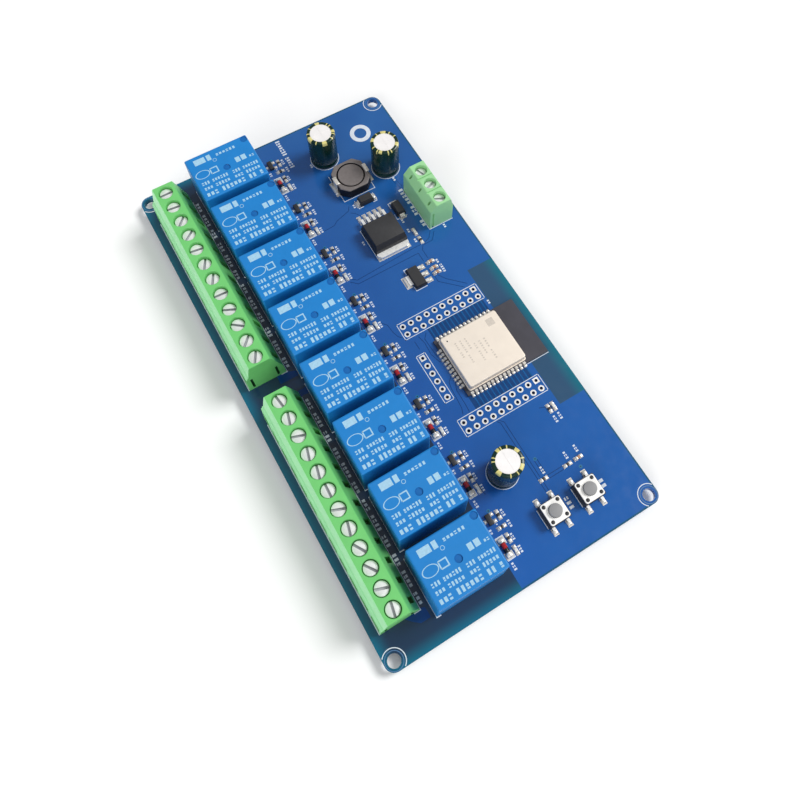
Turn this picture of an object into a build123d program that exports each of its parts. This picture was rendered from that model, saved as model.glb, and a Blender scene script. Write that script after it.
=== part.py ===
from build123d import *
from math import atan2, degrees
import os

# An eight-channel relay board with a radio module. All lengths are in millimetres. X runs along
# the board, Y across it from the output terminals to the radio's aerial, Z up. The origin is
# below the centre of the board, on the surface that its trimmed pins stand on.

# Board
BOARD_THICKNESS = 1.6
PIN_TRIM_LENGTH = 1.6
CORNER_HOLE_INSET = 2.5
CORNER_HOLE_DIAMETER = 3.3
RELAY_ROW_END_MARGIN = 5.48
TERMINAL_EDGE_MARGIN = 2.5
LOGIC_AREA_DEPTH = 32.8
HOLE_SIDES = 6
SCREW_SIDES = 10
ROUND_SIDES = 20

# Relays
RELAY_COUNT = 8
RELAY_WIDTH = 15.3
RELAY_DEPTH = 19.0
RELAY_HEIGHT = 15.4
RELAY_DRAFT_ANGLE = 0.7
RELAY_EDGE_CHAMFER = 0.45
RELAY_GAP = 2.02
RELAY_TO_TERMINAL_GAP = 2.55
RELAY_COIL_PIN_SIZE = 0.6
RELAY_CONTACT_PIN_WIDTH = 1.0
RELAY_CONTACT_PIN_THICKNESS = 0.5
RELAY_PIN_SPREAD = 12.0
RELAY_COMMON_PIN_INSET = 2.3
RELAY_COIL_PIN_INSET = 4.3
RELAY_CONTACT_PIN_INSET = 2.6

# Output terminal blocks
POLE_PITCH = 5.08
OUTPUT_POLES = 12
OUTPUT_BLOCK_GAP = 8.43
OUTPUT_BLOCK_MIDDLE = -0.42
OUTPUT_HEIGHT = 13.0
OUTPUT_FRONT_FOOT = 5.15
OUTPUT_FRONT_LEDGE = 4.75
OUTPUT_FRONT_STEP = 3.85
OUTPUT_FRONT_TOP = 2.85
OUTPUT_LEDGE_HEIGHT = 7.2
OUTPUT_STEP_HEIGHT = 8.6
OUTPUT_BACK_FOOT = 5.55
OUTPUT_BACK_WAIST = 5.4
OUTPUT_BACK_SHOULDER = 3.9
OUTPUT_BACK_TOP = 3.0
OUTPUT_WAIST_HEIGHT = 4.7
OUTPUT_SHOULDER_HEIGHT = 9.9
TEST_SLOT_WIDTH = 1.7
TEST_SLOT_HEIGHT = 1.3
TEST_SLOT_DEPTH = 1.2
END_GROOVE_WIDTH = 0.65
END_GROOVE_DEPTH = 0.6
END_GROOVE_FOOT = 0.9
END_GROOVE_HEIGHT = 5.5
END_GROOVE_SPACING = 7.0

# Power terminal block
POWER_POLES = 3
POWER_HEIGHT = 10.5
POWER_SHOULDER_HEIGHT = 8.1
POWER_LEDGE_HEIGHT = 7.0
POWER_BACK_DEPTH = 4.3
POWER_BACK_TOP = 2.3
POWER_FRONT_TOP = 2.25
POWER_FRONT_DEPTH = 3.2
POWER_GROOVE_WIDTH = 0.4
POWER_GROOVE_DEPTH = 0.35
POWER_HOLE_WIDTH = 0.6
POWER_HOLE_LENGTH = 1.2
POWER_HOLE_DEPTH = 0.7
POWER_END_GROOVE_WIDTH = 0.65
POWER_END_GROOVE_DEPTH = 0.5
POWER_END_GROOVE_INSET = 1.0

# What a terminal pole holds
CAGE_WIDTH = 3.6
CAGE_DEPTH = 3.2
CAGE_HEIGHT = 4.6
CAGE_WALL = 0.55
CAGE_CLEARANCE = 0.1
CAGE_HEADROOM = 0.4
TERMINAL_FLOOR = 1.0
SCREW_HEAD_DIAMETER = 3.9
SCREW_HEAD_HEIGHT = 1.9
SCREW_HEAD_RECESS = 0.8
SCREW_WELL_CLEARANCE = 0.2
SCREW_SHANK_WIDTH = 2.6
SCREW_NECK_CLEARANCE = 0.1
SCREW_SLOT_WIDTH = 0.65
SCREW_SLOT_DEPTH = 0.9
SCREW_TURN = 67.0
TERMINAL_PIN_SIZE = 1.0

# Capacitors
CAPACITOR_DIAMETER = 8.2
CAPACITOR_HEIGHT = 12.3
SLEEVE_THICKNESS = 0.15
SLEEVE_LIP = 1.0
CAPACITOR_LEAD_SPACING = 3.5
CAPACITOR_LEAD_SIZE = 0.6

# Power inductor
INDUCTOR_SIZE = 10.1
INDUCTOR_HEIGHT = 4.0
INDUCTOR_CORNER_CUT = 2.1
INDUCTOR_BORE_DIAMETER = 8.5
DRUM_DIAMETER = 7.4
DRUM_CORE_DIAMETER = 3.6
DRUM_FLANGE = 0.9
WINDING_CLEARANCE = 0.1
INDUCTOR_FOOT_THICKNESS = 0.3
INDUCTOR_FOOT_WIDTH = 4.4
INDUCTOR_FOOT_REACH = 0.9
INDUCTOR_CLIP_WIDTH = 2.4
INDUCTOR_CLIP_REACH = 0.5

# Regulator in a five-lead surface package
REGULATOR_LENGTH = 9.2
REGULATOR_WIDTH = 10.1
REGULATOR_HEIGHT = 4.5
REGULATOR_TAB_THICKNESS = 1.3
REGULATOR_TAB_REACH = 1.75
REGULATOR_TAB_INSET = 0.6
REGULATOR_TAB_NOTCH = 1.0
REGULATOR_LEADS = 5
REGULATOR_LEAD_PITCH = 1.7
REGULATOR_LEAD_WIDTH = 0.8
REGULATOR_LEAD_THICKNESS = 0.4
REGULATOR_LEAD_REACH = 4.4
REGULATOR_LEAD_FOOT = 2.2
REGULATOR_LEAD_RISE = 2.2

# Small regulator in a three-lead surface package
SMALL_REGULATOR_LENGTH = 6.5
SMALL_REGULATOR_WIDTH = 3.5
SMALL_REGULATOR_HEIGHT = 1.7
SMALL_LEAD_PITCH = 2.3
SMALL_LEAD_WIDTH = 0.75
SMALL_TAB_WIDTH = 3.1
SMALL_LEAD_REACH = 1.7
SMALL_LEAD_FOOT = 1.0
SMALL_LEAD_RISE = 0.75
SMALL_LEAD_THICKNESS = 0.3

# Power diodes
POWER_DIODE_LENGTH = 4.4
POWER_DIODE_WIDTH = 2.7
POWER_DIODE_HEIGHT = 2.1
POWER_DIODE_CHAMFER = 0.3
DIODE_LEAD_WIDTH = 1.5
DIODE_LEAD_REACH = 0.4
DIODE_LEAD_THICKNESS = 0.25
DIODE_LEAD_RISE = 1.1

# Radio module
RADIO_WIDTH = 18.1
RADIO_LENGTH = 25.5
RADIO_BOARD_THICKNESS = 0.8
SHIELD_WIDTH = 15.9
SHIELD_LENGTH = 17.6
SHIELD_HEIGHT = 2.35
SHIELD_WALL = 0.2
SHIELD_EDGE_INSET = 1.2
SHIELD_CORNER_RADIUS = 0.6

# Pin headers, bare holes
HEADER_PITCH = 2.54
HEADER_HOLE_DIAMETER = 1.05
HEADER_ROW_PINS = 10
SIDE_HEADER_PINS = 6

# Push buttons
BUTTON_BODY_SIZE = 6.0
BUTTON_BODY_HEIGHT = 3.2
BUTTON_CORNER_CHAMFER = 0.5
BUTTON_COVER_THICKNESS = 0.3
BUTTON_COVER_INSET = 0.15
BUTTON_STUD_INSET = 0.925
BUTTON_STUD_SIZE = 0.8
BUTTON_STUD_PROUD = 0.15
BUTTON_CHAMBER_DIAMETER = 4.4
BUTTON_CHAMBER_DEPTH = 1.7
PLUNGER_DIAMETER = 3.4
PLUNGER_CLEARANCE = 0.06
PLUNGER_TOP = 4.5
PLUNGER_FLANGE_WIDTH = 0.35
PLUNGER_FLANGE_THICKNESS = 0.7
BUTTON_TRAVEL = 0.25
DOME_GAP = 0.02
DOME_THICKNESS = 0.1
DOME_FLAT_DIAMETER = 1.6
DOME_DIAMETER = 4.0
DOME_SIDES = 8
BUTTON_LEG_SPACING = 4.3
BUTTON_LEG_WIDTH = 0.75
BUTTON_LEG_REACH = 1.5
BUTTON_LEG_FOOT = 0.9
BUTTON_LEG_RISE = 1.0
BUTTON_LEG_THICKNESS = 0.2

# Driver parts of one channel
TRANSISTOR_LENGTH = 2.9
TRANSISTOR_WIDTH = 1.3
TRANSISTOR_HEIGHT = 1.0
TRANSISTOR_LEAD_WIDTH = 0.4
TRANSISTOR_LEAD_PITCH = 0.95
TRANSISTOR_LEAD_REACH = 0.6
TRANSISTOR_LEAD_THICKNESS = 0.15
GLASS_DIODE_DIAMETER = 1.4
GLASS_DIODE_LENGTH = 2.6
GLASS_DIODE_END_LENGTH = 0.45
GLASS_DIODE_SIDES = 8
CHIP_LENGTH = 1.6
CHIP_WIDTH = 0.8
RESISTOR_HEIGHT = 0.45
CHIP_CAPACITOR_HEIGHT = 0.8
STATUS_LED_HEIGHT = 0.6

# Places of the driver parts, from the relay's centre line and its inner edge
TRANSISTOR_PLACE = (-4.85, 3.75)
GLASS_DIODE_PLACE = (2.8, 3.4)
BASE_RESISTOR_PLACE = (-4.8, 6.42)
PULL_DOWN_RESISTOR_PLACE = (-1.85, 5.52)
LED_RESISTOR_PLACE = (1.2, 5.52)
STATUS_LED_PLACE = (4.55, 5.52)

# Places in the logic area: X from the near end of the board, Y from the first header row
HEADER_FROM_DRIVERS = 11.57
FIRST_HEADER_X = -0.07
SECOND_HEADER_X = 31.42
SIDE_HEADER_X = 10.59
RADIO_PLACE = (17.1, 17.5)
CAPACITOR_PLACES = ((13.55, 7.63), (25.45, 22.03))
INDUCTOR_PLACE = (25.15, 10.53)
POWER_DIODE_PLACES = ((32.95, 10.98, 90), (40.45, 17.73, 0))
REGULATOR_PLACE = (46.45, 9.68)
POWER_LED_PLACE = (49.35, 18.08)
POWER_LED_RESISTOR_PLACE = (52.55, 18.23)
SMALL_REGULATOR_PLACE = (62.63, 10.83)
CHIP_CAPACITOR_PLACES = ((60.1, 16.93), (62.25, 16.93), (63.95, 16.93))
POWER_TERMINAL_PLACE = (43.03, 26.83)
THIRD_CAPACITOR_PLACE = (26.15, 1.53)
RIGHT_LED_PLACE = (34.05, 22.83)
RIGHT_LED_RESISTOR_PLACE = (34.05, 21.43)
BUTTON_RESISTOR_PLACES = ((19.4, 9.58), (19.35, 16.98))
BUTTON_CAPACITOR_PLACE = (19.45, 20.43)
BUTTON_PLACES = ((11.22, 6.8), (11.22, 17.26))

# Worked out from the sizes above
board_bottom = PIN_TRIM_LENGTH
board_top = board_bottom + BOARD_THICKNESS
relay_pitch = RELAY_WIDTH + RELAY_GAP
output_depth = OUTPUT_FRONT_FOOT + OUTPUT_BACK_FOOT
output_length = OUTPUT_POLES * POLE_PITCH

board_length = RELAY_COUNT * relay_pitch - RELAY_GAP + 2 * RELAY_ROW_END_MARGIN
board_width = (TERMINAL_EDGE_MARGIN + output_depth + RELAY_TO_TERMINAL_GAP + RELAY_DEPTH
               + HEADER_FROM_DRIVERS + LOGIC_AREA_DEPTH)
left_end = -board_length / 2
right_end = board_length / 2

output_line = -board_width / 2 + TERMINAL_EDGE_MARGIN + OUTPUT_FRONT_FOOT
relay_line = output_line + OUTPUT_BACK_FOOT + RELAY_TO_TERMINAL_GAP + RELAY_DEPTH / 2
driver_line = relay_line + RELAY_DEPTH / 2
header_line = driver_line + HEADER_FROM_DRIVERS

cage_floor = board_top + TERMINAL_FLOOR
cage_top = cage_floor + CAGE_HEIGHT
chamber_width = CAGE_WIDTH + 2 * CAGE_CLEARANCE
chamber_back = CAGE_DEPTH / 2 + CAGE_CLEARANCE
chamber_height = CAGE_HEIGHT + CAGE_HEADROOM
neck_width = SCREW_SHANK_WIDTH + 2 * SCREW_NECK_CLEARANCE

button_floor = board_top + BUTTON_BODY_HEIGHT - BUTTON_CHAMBER_DEPTH
cover_bottom = board_top + BUTTON_BODY_HEIGHT
flange_bottom = cover_bottom - PLUNGER_FLANGE_THICKNESS
plunger_hole_radius = PLUNGER_DIAMETER / 2 + PLUNGER_CLEARANCE


def block(width, depth, height, bottom, x=0.0, y=0.0):
    """A box that stands on the height called bottom, centred on x and y."""
    return Pos(x, y, bottom) * Box(width, depth, height, align=(Align.CENTER, Align.CENTER, Align.MIN))


def prism(radius, height, bottom, sides):
    """A many-sided prism that stands for a small cylinder which repeats or hardly shows."""
    return Pos(0, 0, bottom) * extrude(RegularPolygon(radius, sides), height)


def strip_profile(points, width):
    """A bent strip: its outline in X and Z, drawn out to a width along Y."""
    outline = Polyline(*[(x, 0, z) for x, z in points], close=True)
    return extrude(make_face(outline), width / 2, both=True)


def gull_lead(reach, foot, rise, thickness, width):
    """A surface lead that leaves a body at x = 0, drops at the foot's heel and lies on the board."""
    heel = reach - foot
    points = [(0, rise), (heel + thickness, rise), (heel + thickness, thickness), (reach, thickness),
              (reach, 0), (heel, 0), (heel, rise - thickness), (0, rise - thickness)]
    return Pos(0, 0, board_top) * strip_profile(points, width)


def side_lead(reach, rise, thickness, width):
    """A short lead bent close to its body at x = 0, with its foot on the board."""
    points = [(0, 0), (reach, 0), (reach, thickness), (thickness, thickness), (thickness, rise), (0, rise)]
    return Pos(0, 0, board_top) * strip_profile(points, width)


def place_left(place):
    """A place in the logic area counted from the board's left end."""
    return left_end + place[0], header_line + place[1]


def place_right(place):
    """A place in the logic area counted back from the board's right end."""
    return right_end - place[0], header_line + place[1]


def place_middle(place):
    """A place in the logic area counted from the board's middle."""
    return place[0], header_line + place[1]


def channel_place(channel, place):
    """A place in one channel's driver group."""
    return relay_x[channel] + place[0], driver_line + place[1]


relay_x = [(channel - (RELAY_COUNT - 1) / 2) * relay_pitch for channel in range(RELAY_COUNT)]
output_x = [OUTPUT_BLOCK_MIDDLE + side * (OUTPUT_BLOCK_GAP + output_length) / 2 for side in (-1, 1)]
power_x, power_line = place_left(POWER_TERMINAL_PLACE)
capacitor_places = [place_left(place) for place in CAPACITOR_PLACES] + [place_right(THIRD_CAPACITOR_PLACE)]
button_places = [place_right(place) for place in BUTTON_PLACES]


def pole_offsets(poles):
    """The X of each pole from the middle of its block."""
    return [(pole - (poles - 1) / 2) * POLE_PITCH for pole in range(poles)]


def relay_pin_sections():
    """Each relay pin as x, y and the two sides of its section."""
    inner = relay_line + RELAY_DEPTH / 2
    outer = relay_line - RELAY_DEPTH / 2
    sections = []
    for x in relay_x:
        sections.append((x, inner - RELAY_COMMON_PIN_INSET, RELAY_CONTACT_PIN_WIDTH,
                         RELAY_CONTACT_PIN_THICKNESS))
        for side in (-1, 1):
            pin_x = x + side * RELAY_PIN_SPREAD / 2
            sections.append((pin_x, inner - RELAY_COIL_PIN_INSET, RELAY_COIL_PIN_SIZE, RELAY_COIL_PIN_SIZE))
            sections.append((pin_x, outer + RELAY_CONTACT_PIN_INSET, RELAY_CONTACT_PIN_THICKNESS,
                             RELAY_CONTACT_PIN_WIDTH))
    return sections


def terminal_pin_sections(middles, line, poles):
    """Each terminal pin as x, y and the two sides of its section."""
    return [(middle + offset, line, TERMINAL_PIN_SIZE, TERMINAL_PIN_SIZE)
            for middle in middles for offset in pole_offsets(poles)]


def capacitor_lead_sections():
    """Each capacitor lead as x, y and the two sides of its section."""
    return [(x + side * CAPACITOR_LEAD_SPACING / 2, y, CAPACITOR_LEAD_SIZE, CAPACITOR_LEAD_SIZE)
            for x, y in capacitor_places for side in (-1, 1)]


output_pin_sections = terminal_pin_sections(output_x, output_line, OUTPUT_POLES)
power_pin_sections = terminal_pin_sections([power_x], power_line, POWER_POLES)


def header_holes():
    """The centres of the bare header holes."""
    holes = []
    for first_x in (FIRST_HEADER_X, SECOND_HEADER_X):
        for row in range(HEADER_ROW_PINS):
            for column in range(2):
                holes.append((first_x + column * HEADER_PITCH, header_line + row * HEADER_PITCH))
    for column in range(SIDE_HEADER_PINS):
        holes.append((SIDE_HEADER_X + column * HEADER_PITCH, header_line))
    return holes


def circuit_board():
    """The board with its corner holes, header holes and the holes that leads pass through."""
    outline = RectangleRounded(board_length, board_width, CORNER_HOLE_INSET)
    hole_x = board_length / 2 - CORNER_HOLE_INSET
    hole_y = board_width / 2 - CORNER_HOLE_INSET
    cuts = [Pos(side_x * hole_x, side_y * hole_y) * Circle(CORNER_HOLE_DIAMETER / 2)
            for side_x in (-1, 1) for side_y in (-1, 1)]
    cuts += [Pos(x, y) * RegularPolygon(HEADER_HOLE_DIAMETER / 2, HOLE_SIDES) for x, y in header_holes()]
    sections = (relay_pin_sections() + output_pin_sections + power_pin_sections + capacitor_lead_sections())
    cuts += [Pos(x, y) * Rectangle(width, depth) for x, y, width, depth in sections]
    return Pos(0, 0, board_bottom) * extrude(outline - cuts, BOARD_THICKNESS)


def pins(sections, top):
    """Straight pins from the surface that the board stands on up to a height."""
    return [block(width, depth, top, 0, x, y) for x, y, width, depth in sections]


def relay(x):
    """A sealed relay: a drawn box with its top and upright edges broken."""
    body = extrude(Rectangle(RELAY_WIDTH, RELAY_DEPTH), RELAY_HEIGHT, taper=RELAY_DRAFT_ANGLE)
    foot_edges = body.edges().group_by(Axis.Z)[0]
    body = chamfer([edge for edge in body.edges() if edge not in foot_edges], RELAY_EDGE_CHAMFER)
    return Pos(x, relay_line, board_top) * body


def pole_chamber(front, top):
    """What is cut from a housing at one pole: chamber, neck, screw well and the hole for the pin.
    The wire comes in along +Y, through the face that lies at y = -front."""
    head_bottom = top - SCREW_HEAD_RECESS - SCREW_HEAD_HEIGHT
    chamber_depth = front + chamber_back
    chamber = block(chamber_width, chamber_depth, chamber_height, cage_floor,
                    0, chamber_back - chamber_depth / 2)
    neck = block(neck_width, neck_width, head_bottom - cage_floor, cage_floor)
    well = prism(SCREW_HEAD_DIAMETER / 2 + SCREW_WELL_CLEARANCE, top - head_bottom, head_bottom, SCREW_SIDES)
    pin_hole = block(TERMINAL_PIN_SIZE, TERMINAL_PIN_SIZE, TERMINAL_FLOOR, board_top)
    return chamber + neck + well + pin_hole


def output_profile():
    """The outline of an output block across its length, front at -Y, as y and height."""
    return [(-OUTPUT_FRONT_FOOT, 0), (-OUTPUT_FRONT_LEDGE, OUTPUT_LEDGE_HEIGHT),
            (-OUTPUT_FRONT_STEP, OUTPUT_STEP_HEIGHT), (-OUTPUT_FRONT_TOP, OUTPUT_HEIGHT),
            (OUTPUT_BACK_TOP, OUTPUT_HEIGHT), (OUTPUT_BACK_SHOULDER, OUTPUT_SHOULDER_HEIGHT),
            (OUTPUT_BACK_WAIST, OUTPUT_WAIST_HEIGHT), (OUTPUT_BACK_FOOT, 0)]


def power_profile():
    """The outline of the power block across its length, front at -Y, as y and height."""
    return [(-POWER_FRONT_DEPTH, 0), (-POWER_FRONT_DEPTH, POWER_LEDGE_HEIGHT),
            (-POWER_FRONT_TOP, POWER_HEIGHT), (POWER_BACK_TOP, POWER_HEIGHT),
            (POWER_BACK_DEPTH, POWER_SHOULDER_HEIGHT), (POWER_BACK_DEPTH, 0)]


def housing(profile, poles, front, height):
    """A moulded terminal housing about its pole line, with a chamber at each pole."""
    outline = Polyline(*[(0, y, board_top + z) for y, z in profile], close=True)
    body = extrude(make_face(outline), poles * POLE_PITCH / 2, both=True)
    chamber = pole_chamber(front, board_top + height)
    return body - [Pos(offset, 0, 0) * chamber for offset in pole_offsets(poles)]


def output_housing():
    """An output block with a test slot in its sloped back at each pole and grooves in its ends."""
    body = housing(output_profile(), OUTPUT_POLES, OUTPUT_FRONT_FOOT, OUTPUT_HEIGHT)
    slot_height = (OUTPUT_WAIST_HEIGHT + OUTPUT_SHOULDER_HEIGHT) / 2 - TEST_SLOT_HEIGHT / 2
    slot_y = (OUTPUT_BACK_WAIST + OUTPUT_BACK_SHOULDER) / 2
    slot = block(TEST_SLOT_WIDTH, TEST_SLOT_DEPTH, TEST_SLOT_HEIGHT, board_top + slot_height, 0, slot_y)
    groove = block(2 * END_GROOVE_DEPTH, END_GROOVE_WIDTH, END_GROOVE_HEIGHT, board_top + END_GROOVE_FOOT)
    cuts = [Pos(offset, 0, 0) * slot for offset in pole_offsets(OUTPUT_POLES)]
    cuts += [Pos(end * output_length / 2, side * END_GROOVE_SPACING / 2, 0) * groove
             for end in (-1, 1) for side in (-1, 1)]
    return body - cuts


def power_housing():
    """The power block: its wires come in at +Y. It has grooves across its top between poles, a test
    hole in the slope at each pole, and an upright groove in each end."""
    body = housing(power_profile(), POWER_POLES, POWER_FRONT_DEPTH, POWER_HEIGHT)
    groove_depth = POWER_FRONT_DEPTH + POWER_BACK_DEPTH
    groove_y = (POWER_BACK_DEPTH - POWER_FRONT_DEPTH) / 2
    groove = block(POWER_GROOVE_WIDTH, groove_depth, POWER_GROOVE_DEPTH,
                   board_top + POWER_HEIGHT - POWER_GROOVE_DEPTH, 0, groove_y)
    cuts = [Pos((joint - POWER_POLES / 2) * POLE_PITCH, 0, 0) * groove for joint in range(1, POWER_POLES)]
    run = POWER_BACK_DEPTH - POWER_BACK_TOP
    drop = POWER_HEIGHT - POWER_SHOULDER_HEIGHT
    tilt = degrees(atan2(drop, run))
    hole = Rot(-tilt, 0, 0) * Box(POWER_HOLE_WIDTH, POWER_HOLE_LENGTH, 2 * POWER_HOLE_DEPTH)
    hole_place = Pos(0, POWER_BACK_DEPTH - run / 2, board_top + POWER_HEIGHT - drop / 2)
    cuts += [Pos(offset, 0, 0) * hole_place * hole for offset in pole_offsets(POWER_POLES)]
    end_groove = block(2 * POWER_END_GROOVE_DEPTH, POWER_END_GROOVE_WIDTH, POWER_LEDGE_HEIGHT, board_top)
    end_y = POWER_BACK_DEPTH - POWER_END_GROOVE_INSET
    cuts += [Pos(end * POWER_POLES * POLE_PITCH / 2, end_y, 0) * end_groove for end in (-1, 1)]
    return Pos(power_x, power_line, 0) * Rot(0, 0, 180) * (body - cuts)


def terminal_screw(turn, height):
    """A slotted screw with its head on the neck's shoulder and its end on the cage."""
    head_top = board_top + height - SCREW_HEAD_RECESS
    head_bottom = head_top - SCREW_HEAD_HEIGHT
    head = prism(SCREW_HEAD_DIAMETER / 2, SCREW_HEAD_HEIGHT, head_bottom, SCREW_SIDES)
    head -= block(SCREW_HEAD_DIAMETER, SCREW_SLOT_WIDTH, SCREW_SLOT_DEPTH, head_top - SCREW_SLOT_DEPTH)
    shank = prism(SCREW_SHANK_WIDTH / 2, head_bottom - cage_top, cage_top, HOLE_SIDES)
    return Rot(0, 0, turn) * (head + shank)


def screws(middle, line, poles, height):
    """The screws of one block, each left at its own turn."""
    return [Pos(middle + offset, line, 0) * terminal_screw(SCREW_TURN * number, height)
            for number, offset in enumerate(pole_offsets(poles))]


def cages(sections):
    """The metal cage that a wire goes into, one on each terminal pin."""
    cage = block(CAGE_WIDTH, CAGE_DEPTH, CAGE_HEIGHT, cage_floor)
    cage -= block(CAGE_WIDTH - 2 * CAGE_WALL, CAGE_DEPTH, CAGE_HEIGHT - 2 * CAGE_WALL, cage_floor + CAGE_WALL)
    return [Pos(x, y, 0) * cage for x, y, _, _ in sections]


def capacitor_can(x, y):
    """The aluminium can inside its sleeve."""
    can = prism(CAPACITOR_DIAMETER / 2 - SLEEVE_THICKNESS, CAPACITOR_HEIGHT - SLEEVE_THICKNESS, board_top,
                ROUND_SIDES)
    return Pos(x, y, 0) * can


def capacitor_sleeve(x, y):
    """The shrunk sleeve, with its lip curled over the top of the can."""
    outer = CAPACITOR_DIAMETER / 2
    sleeve = prism(outer, CAPACITOR_HEIGHT, board_top, ROUND_SIDES)
    sleeve -= prism(outer - SLEEVE_LIP, CAPACITOR_HEIGHT, board_top, ROUND_SIDES)
    return Pos(x, y, 0) * sleeve - capacitor_can(x, y)


def inductor():
    """The inductor's shield, drum, winding and its two metal feet with their clips."""
    x, y = place_left(INDUCTOR_PLACE)
    place = Pos(x, y, board_top + INDUCTOR_FOOT_THICKNESS)
    body_height = INDUCTOR_HEIGHT - INDUCTOR_FOOT_THICKNESS
    outline = chamfer(Rectangle(INDUCTOR_SIZE, INDUCTOR_SIZE).vertices(), INDUCTOR_CORNER_CUT)
    bore_radius = INDUCTOR_BORE_DIAMETER / 2
    shield = extrude(outline, body_height) - prism(bore_radius, body_height, 0, ROUND_SIDES)
    flange = DRUM_DIAMETER / 2
    waist = body_height - 2 * DRUM_FLANGE
    core = prism(DRUM_CORE_DIAMETER / 2, body_height, 0, ROUND_SIDES)
    drum = core + [prism(flange, DRUM_FLANGE, bottom, ROUND_SIDES)
                   for bottom in (0, body_height - DRUM_FLANGE)]
    winding = prism(flange - WINDING_CLEARANCE, waist, DRUM_FLANGE, ROUND_SIDES) - core
    return place * shield, place * drum, place * winding, [inductor_foot(x, y, side) for side in (-1, 1)]


def inductor_foot(x, y, side):
    """A plate under one side of the inductor, bent up outside it and over the edge of its top."""
    edge = INDUCTOR_SIZE / 2
    thickness = INDUCTOR_FOOT_THICKNESS
    plate = block(INDUCTOR_FOOT_WIDTH, edge - DRUM_DIAMETER / 4 + INDUCTOR_FOOT_REACH, thickness, board_top,
                  0, (edge + DRUM_DIAMETER / 4 + INDUCTOR_FOOT_REACH) / 2)
    upright = block(INDUCTOR_CLIP_WIDTH, thickness, INDUCTOR_HEIGHT, board_top, 0, edge + thickness / 2)
    clip = block(INDUCTOR_CLIP_WIDTH, INDUCTOR_CLIP_REACH + thickness, thickness, board_top + INDUCTOR_HEIGHT,
                 0, edge + (thickness - INDUCTOR_CLIP_REACH) / 2)
    return Pos(x, y, 0) * Rot(0, 0, 90 - side * 90) * (plate + upright + clip)


def regulator():
    """The regulator's body, its metal tab and its five leads."""
    x, y = place_left(REGULATOR_PLACE)
    tab_width = REGULATOR_WIDTH - 2 * REGULATOR_TAB_INSET
    slug_length = REGULATOR_LENGTH - REGULATOR_LEAD_FOOT
    slug_x = (REGULATOR_LENGTH - slug_length) / 2
    slug = block(slug_length, tab_width, REGULATOR_TAB_THICKNESS, board_top, slug_x)
    ear_outline = Rectangle(REGULATOR_TAB_REACH, REGULATOR_WIDTH)
    ear_corners = ear_outline.vertices().group_by(Axis.X)[-1]
    ear = extrude(chamfer(ear_corners, REGULATOR_TAB_NOTCH), REGULATOR_TAB_THICKNESS)
    tab = slug + Pos((REGULATOR_LENGTH + REGULATOR_TAB_REACH) / 2, 0, board_top) * ear
    body = block(REGULATOR_LENGTH, REGULATOR_WIDTH, REGULATOR_HEIGHT, board_top) - slug
    lead = Rot(0, 0, 180) * gull_lead(REGULATOR_LEAD_REACH, REGULATOR_LEAD_FOOT, REGULATOR_LEAD_RISE,
                                      REGULATOR_LEAD_THICKNESS, REGULATOR_LEAD_WIDTH)
    middle = (REGULATOR_LEADS - 1) / 2
    leads = [Pos(x - REGULATOR_LENGTH / 2, y + (number - middle) * REGULATOR_LEAD_PITCH, 0) * lead
             for number in range(REGULATOR_LEADS)]
    return Pos(x, y, 0) * body, Pos(x, y, 0) * tab, leads


def small_regulator():
    """The small regulator's body, and its three leads with the wide tab opposite them."""
    x, y = place_left(SMALL_REGULATOR_PLACE)
    body = block(SMALL_REGULATOR_LENGTH, SMALL_REGULATOR_WIDTH, SMALL_REGULATOR_HEIGHT, board_top, x, y)
    edge = SMALL_REGULATOR_WIDTH / 2
    lead = Rot(0, 0, 90) * gull_lead(SMALL_LEAD_REACH, SMALL_LEAD_FOOT, SMALL_LEAD_RISE, SMALL_LEAD_THICKNESS,
                                     SMALL_LEAD_WIDTH)
    tab = Rot(0, 0, -90) * gull_lead(SMALL_LEAD_REACH, SMALL_LEAD_FOOT, SMALL_LEAD_RISE, SMALL_LEAD_THICKNESS,
                                     SMALL_TAB_WIDTH)
    leads = [Pos(x + side * SMALL_LEAD_PITCH, y + edge, 0) * lead for side in (-1, 0, 1)]
    return body, leads + [Pos(x, y - edge, 0) * tab]


def power_diodes():
    """The two rectifier diodes and their leads."""
    edge = POWER_DIODE_LENGTH / 2
    body = block(POWER_DIODE_LENGTH, POWER_DIODE_WIDTH, POWER_DIODE_HEIGHT, board_top)
    body = chamfer(body.edges().group_by(Axis.Z)[-1], POWER_DIODE_CHAMFER)
    lead = Pos(edge, 0, 0) * side_lead(DIODE_LEAD_REACH, DIODE_LEAD_RISE, DIODE_LEAD_THICKNESS,
                                       DIODE_LEAD_WIDTH)
    bodies = []
    leads = []
    for place in POWER_DIODE_PLACES:
        x, y = place_left(place)
        for turn in (0, 180):
            leads.append(Pos(x, y, 0) * Rot(0, 0, place[2] + turn) * lead)
        bodies.append(Pos(x, y, 0) * Rot(0, 0, place[2]) * body)
    return bodies, leads


def radio_module():
    """The radio's own board and the drawn metal shield that stands on it."""
    x, y = place_middle(RADIO_PLACE)
    module_board = block(RADIO_WIDTH, RADIO_LENGTH, RADIO_BOARD_THICKNESS, board_top, x, y)
    outline = RectangleRounded(SHIELD_WIDTH, SHIELD_LENGTH, SHIELD_CORNER_RADIUS)
    hollow = Rectangle(SHIELD_WIDTH - 2 * SHIELD_WALL, SHIELD_LENGTH - 2 * SHIELD_WALL)
    can = extrude(outline, SHIELD_HEIGHT) - extrude(hollow, SHIELD_HEIGHT - SHIELD_WALL)
    shield_y = y - (RADIO_LENGTH - SHIELD_LENGTH) / 2 + SHIELD_EDGE_INSET
    shield = Pos(x, shield_y, board_top + RADIO_BOARD_THICKNESS) * can
    return module_board, shield


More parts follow.
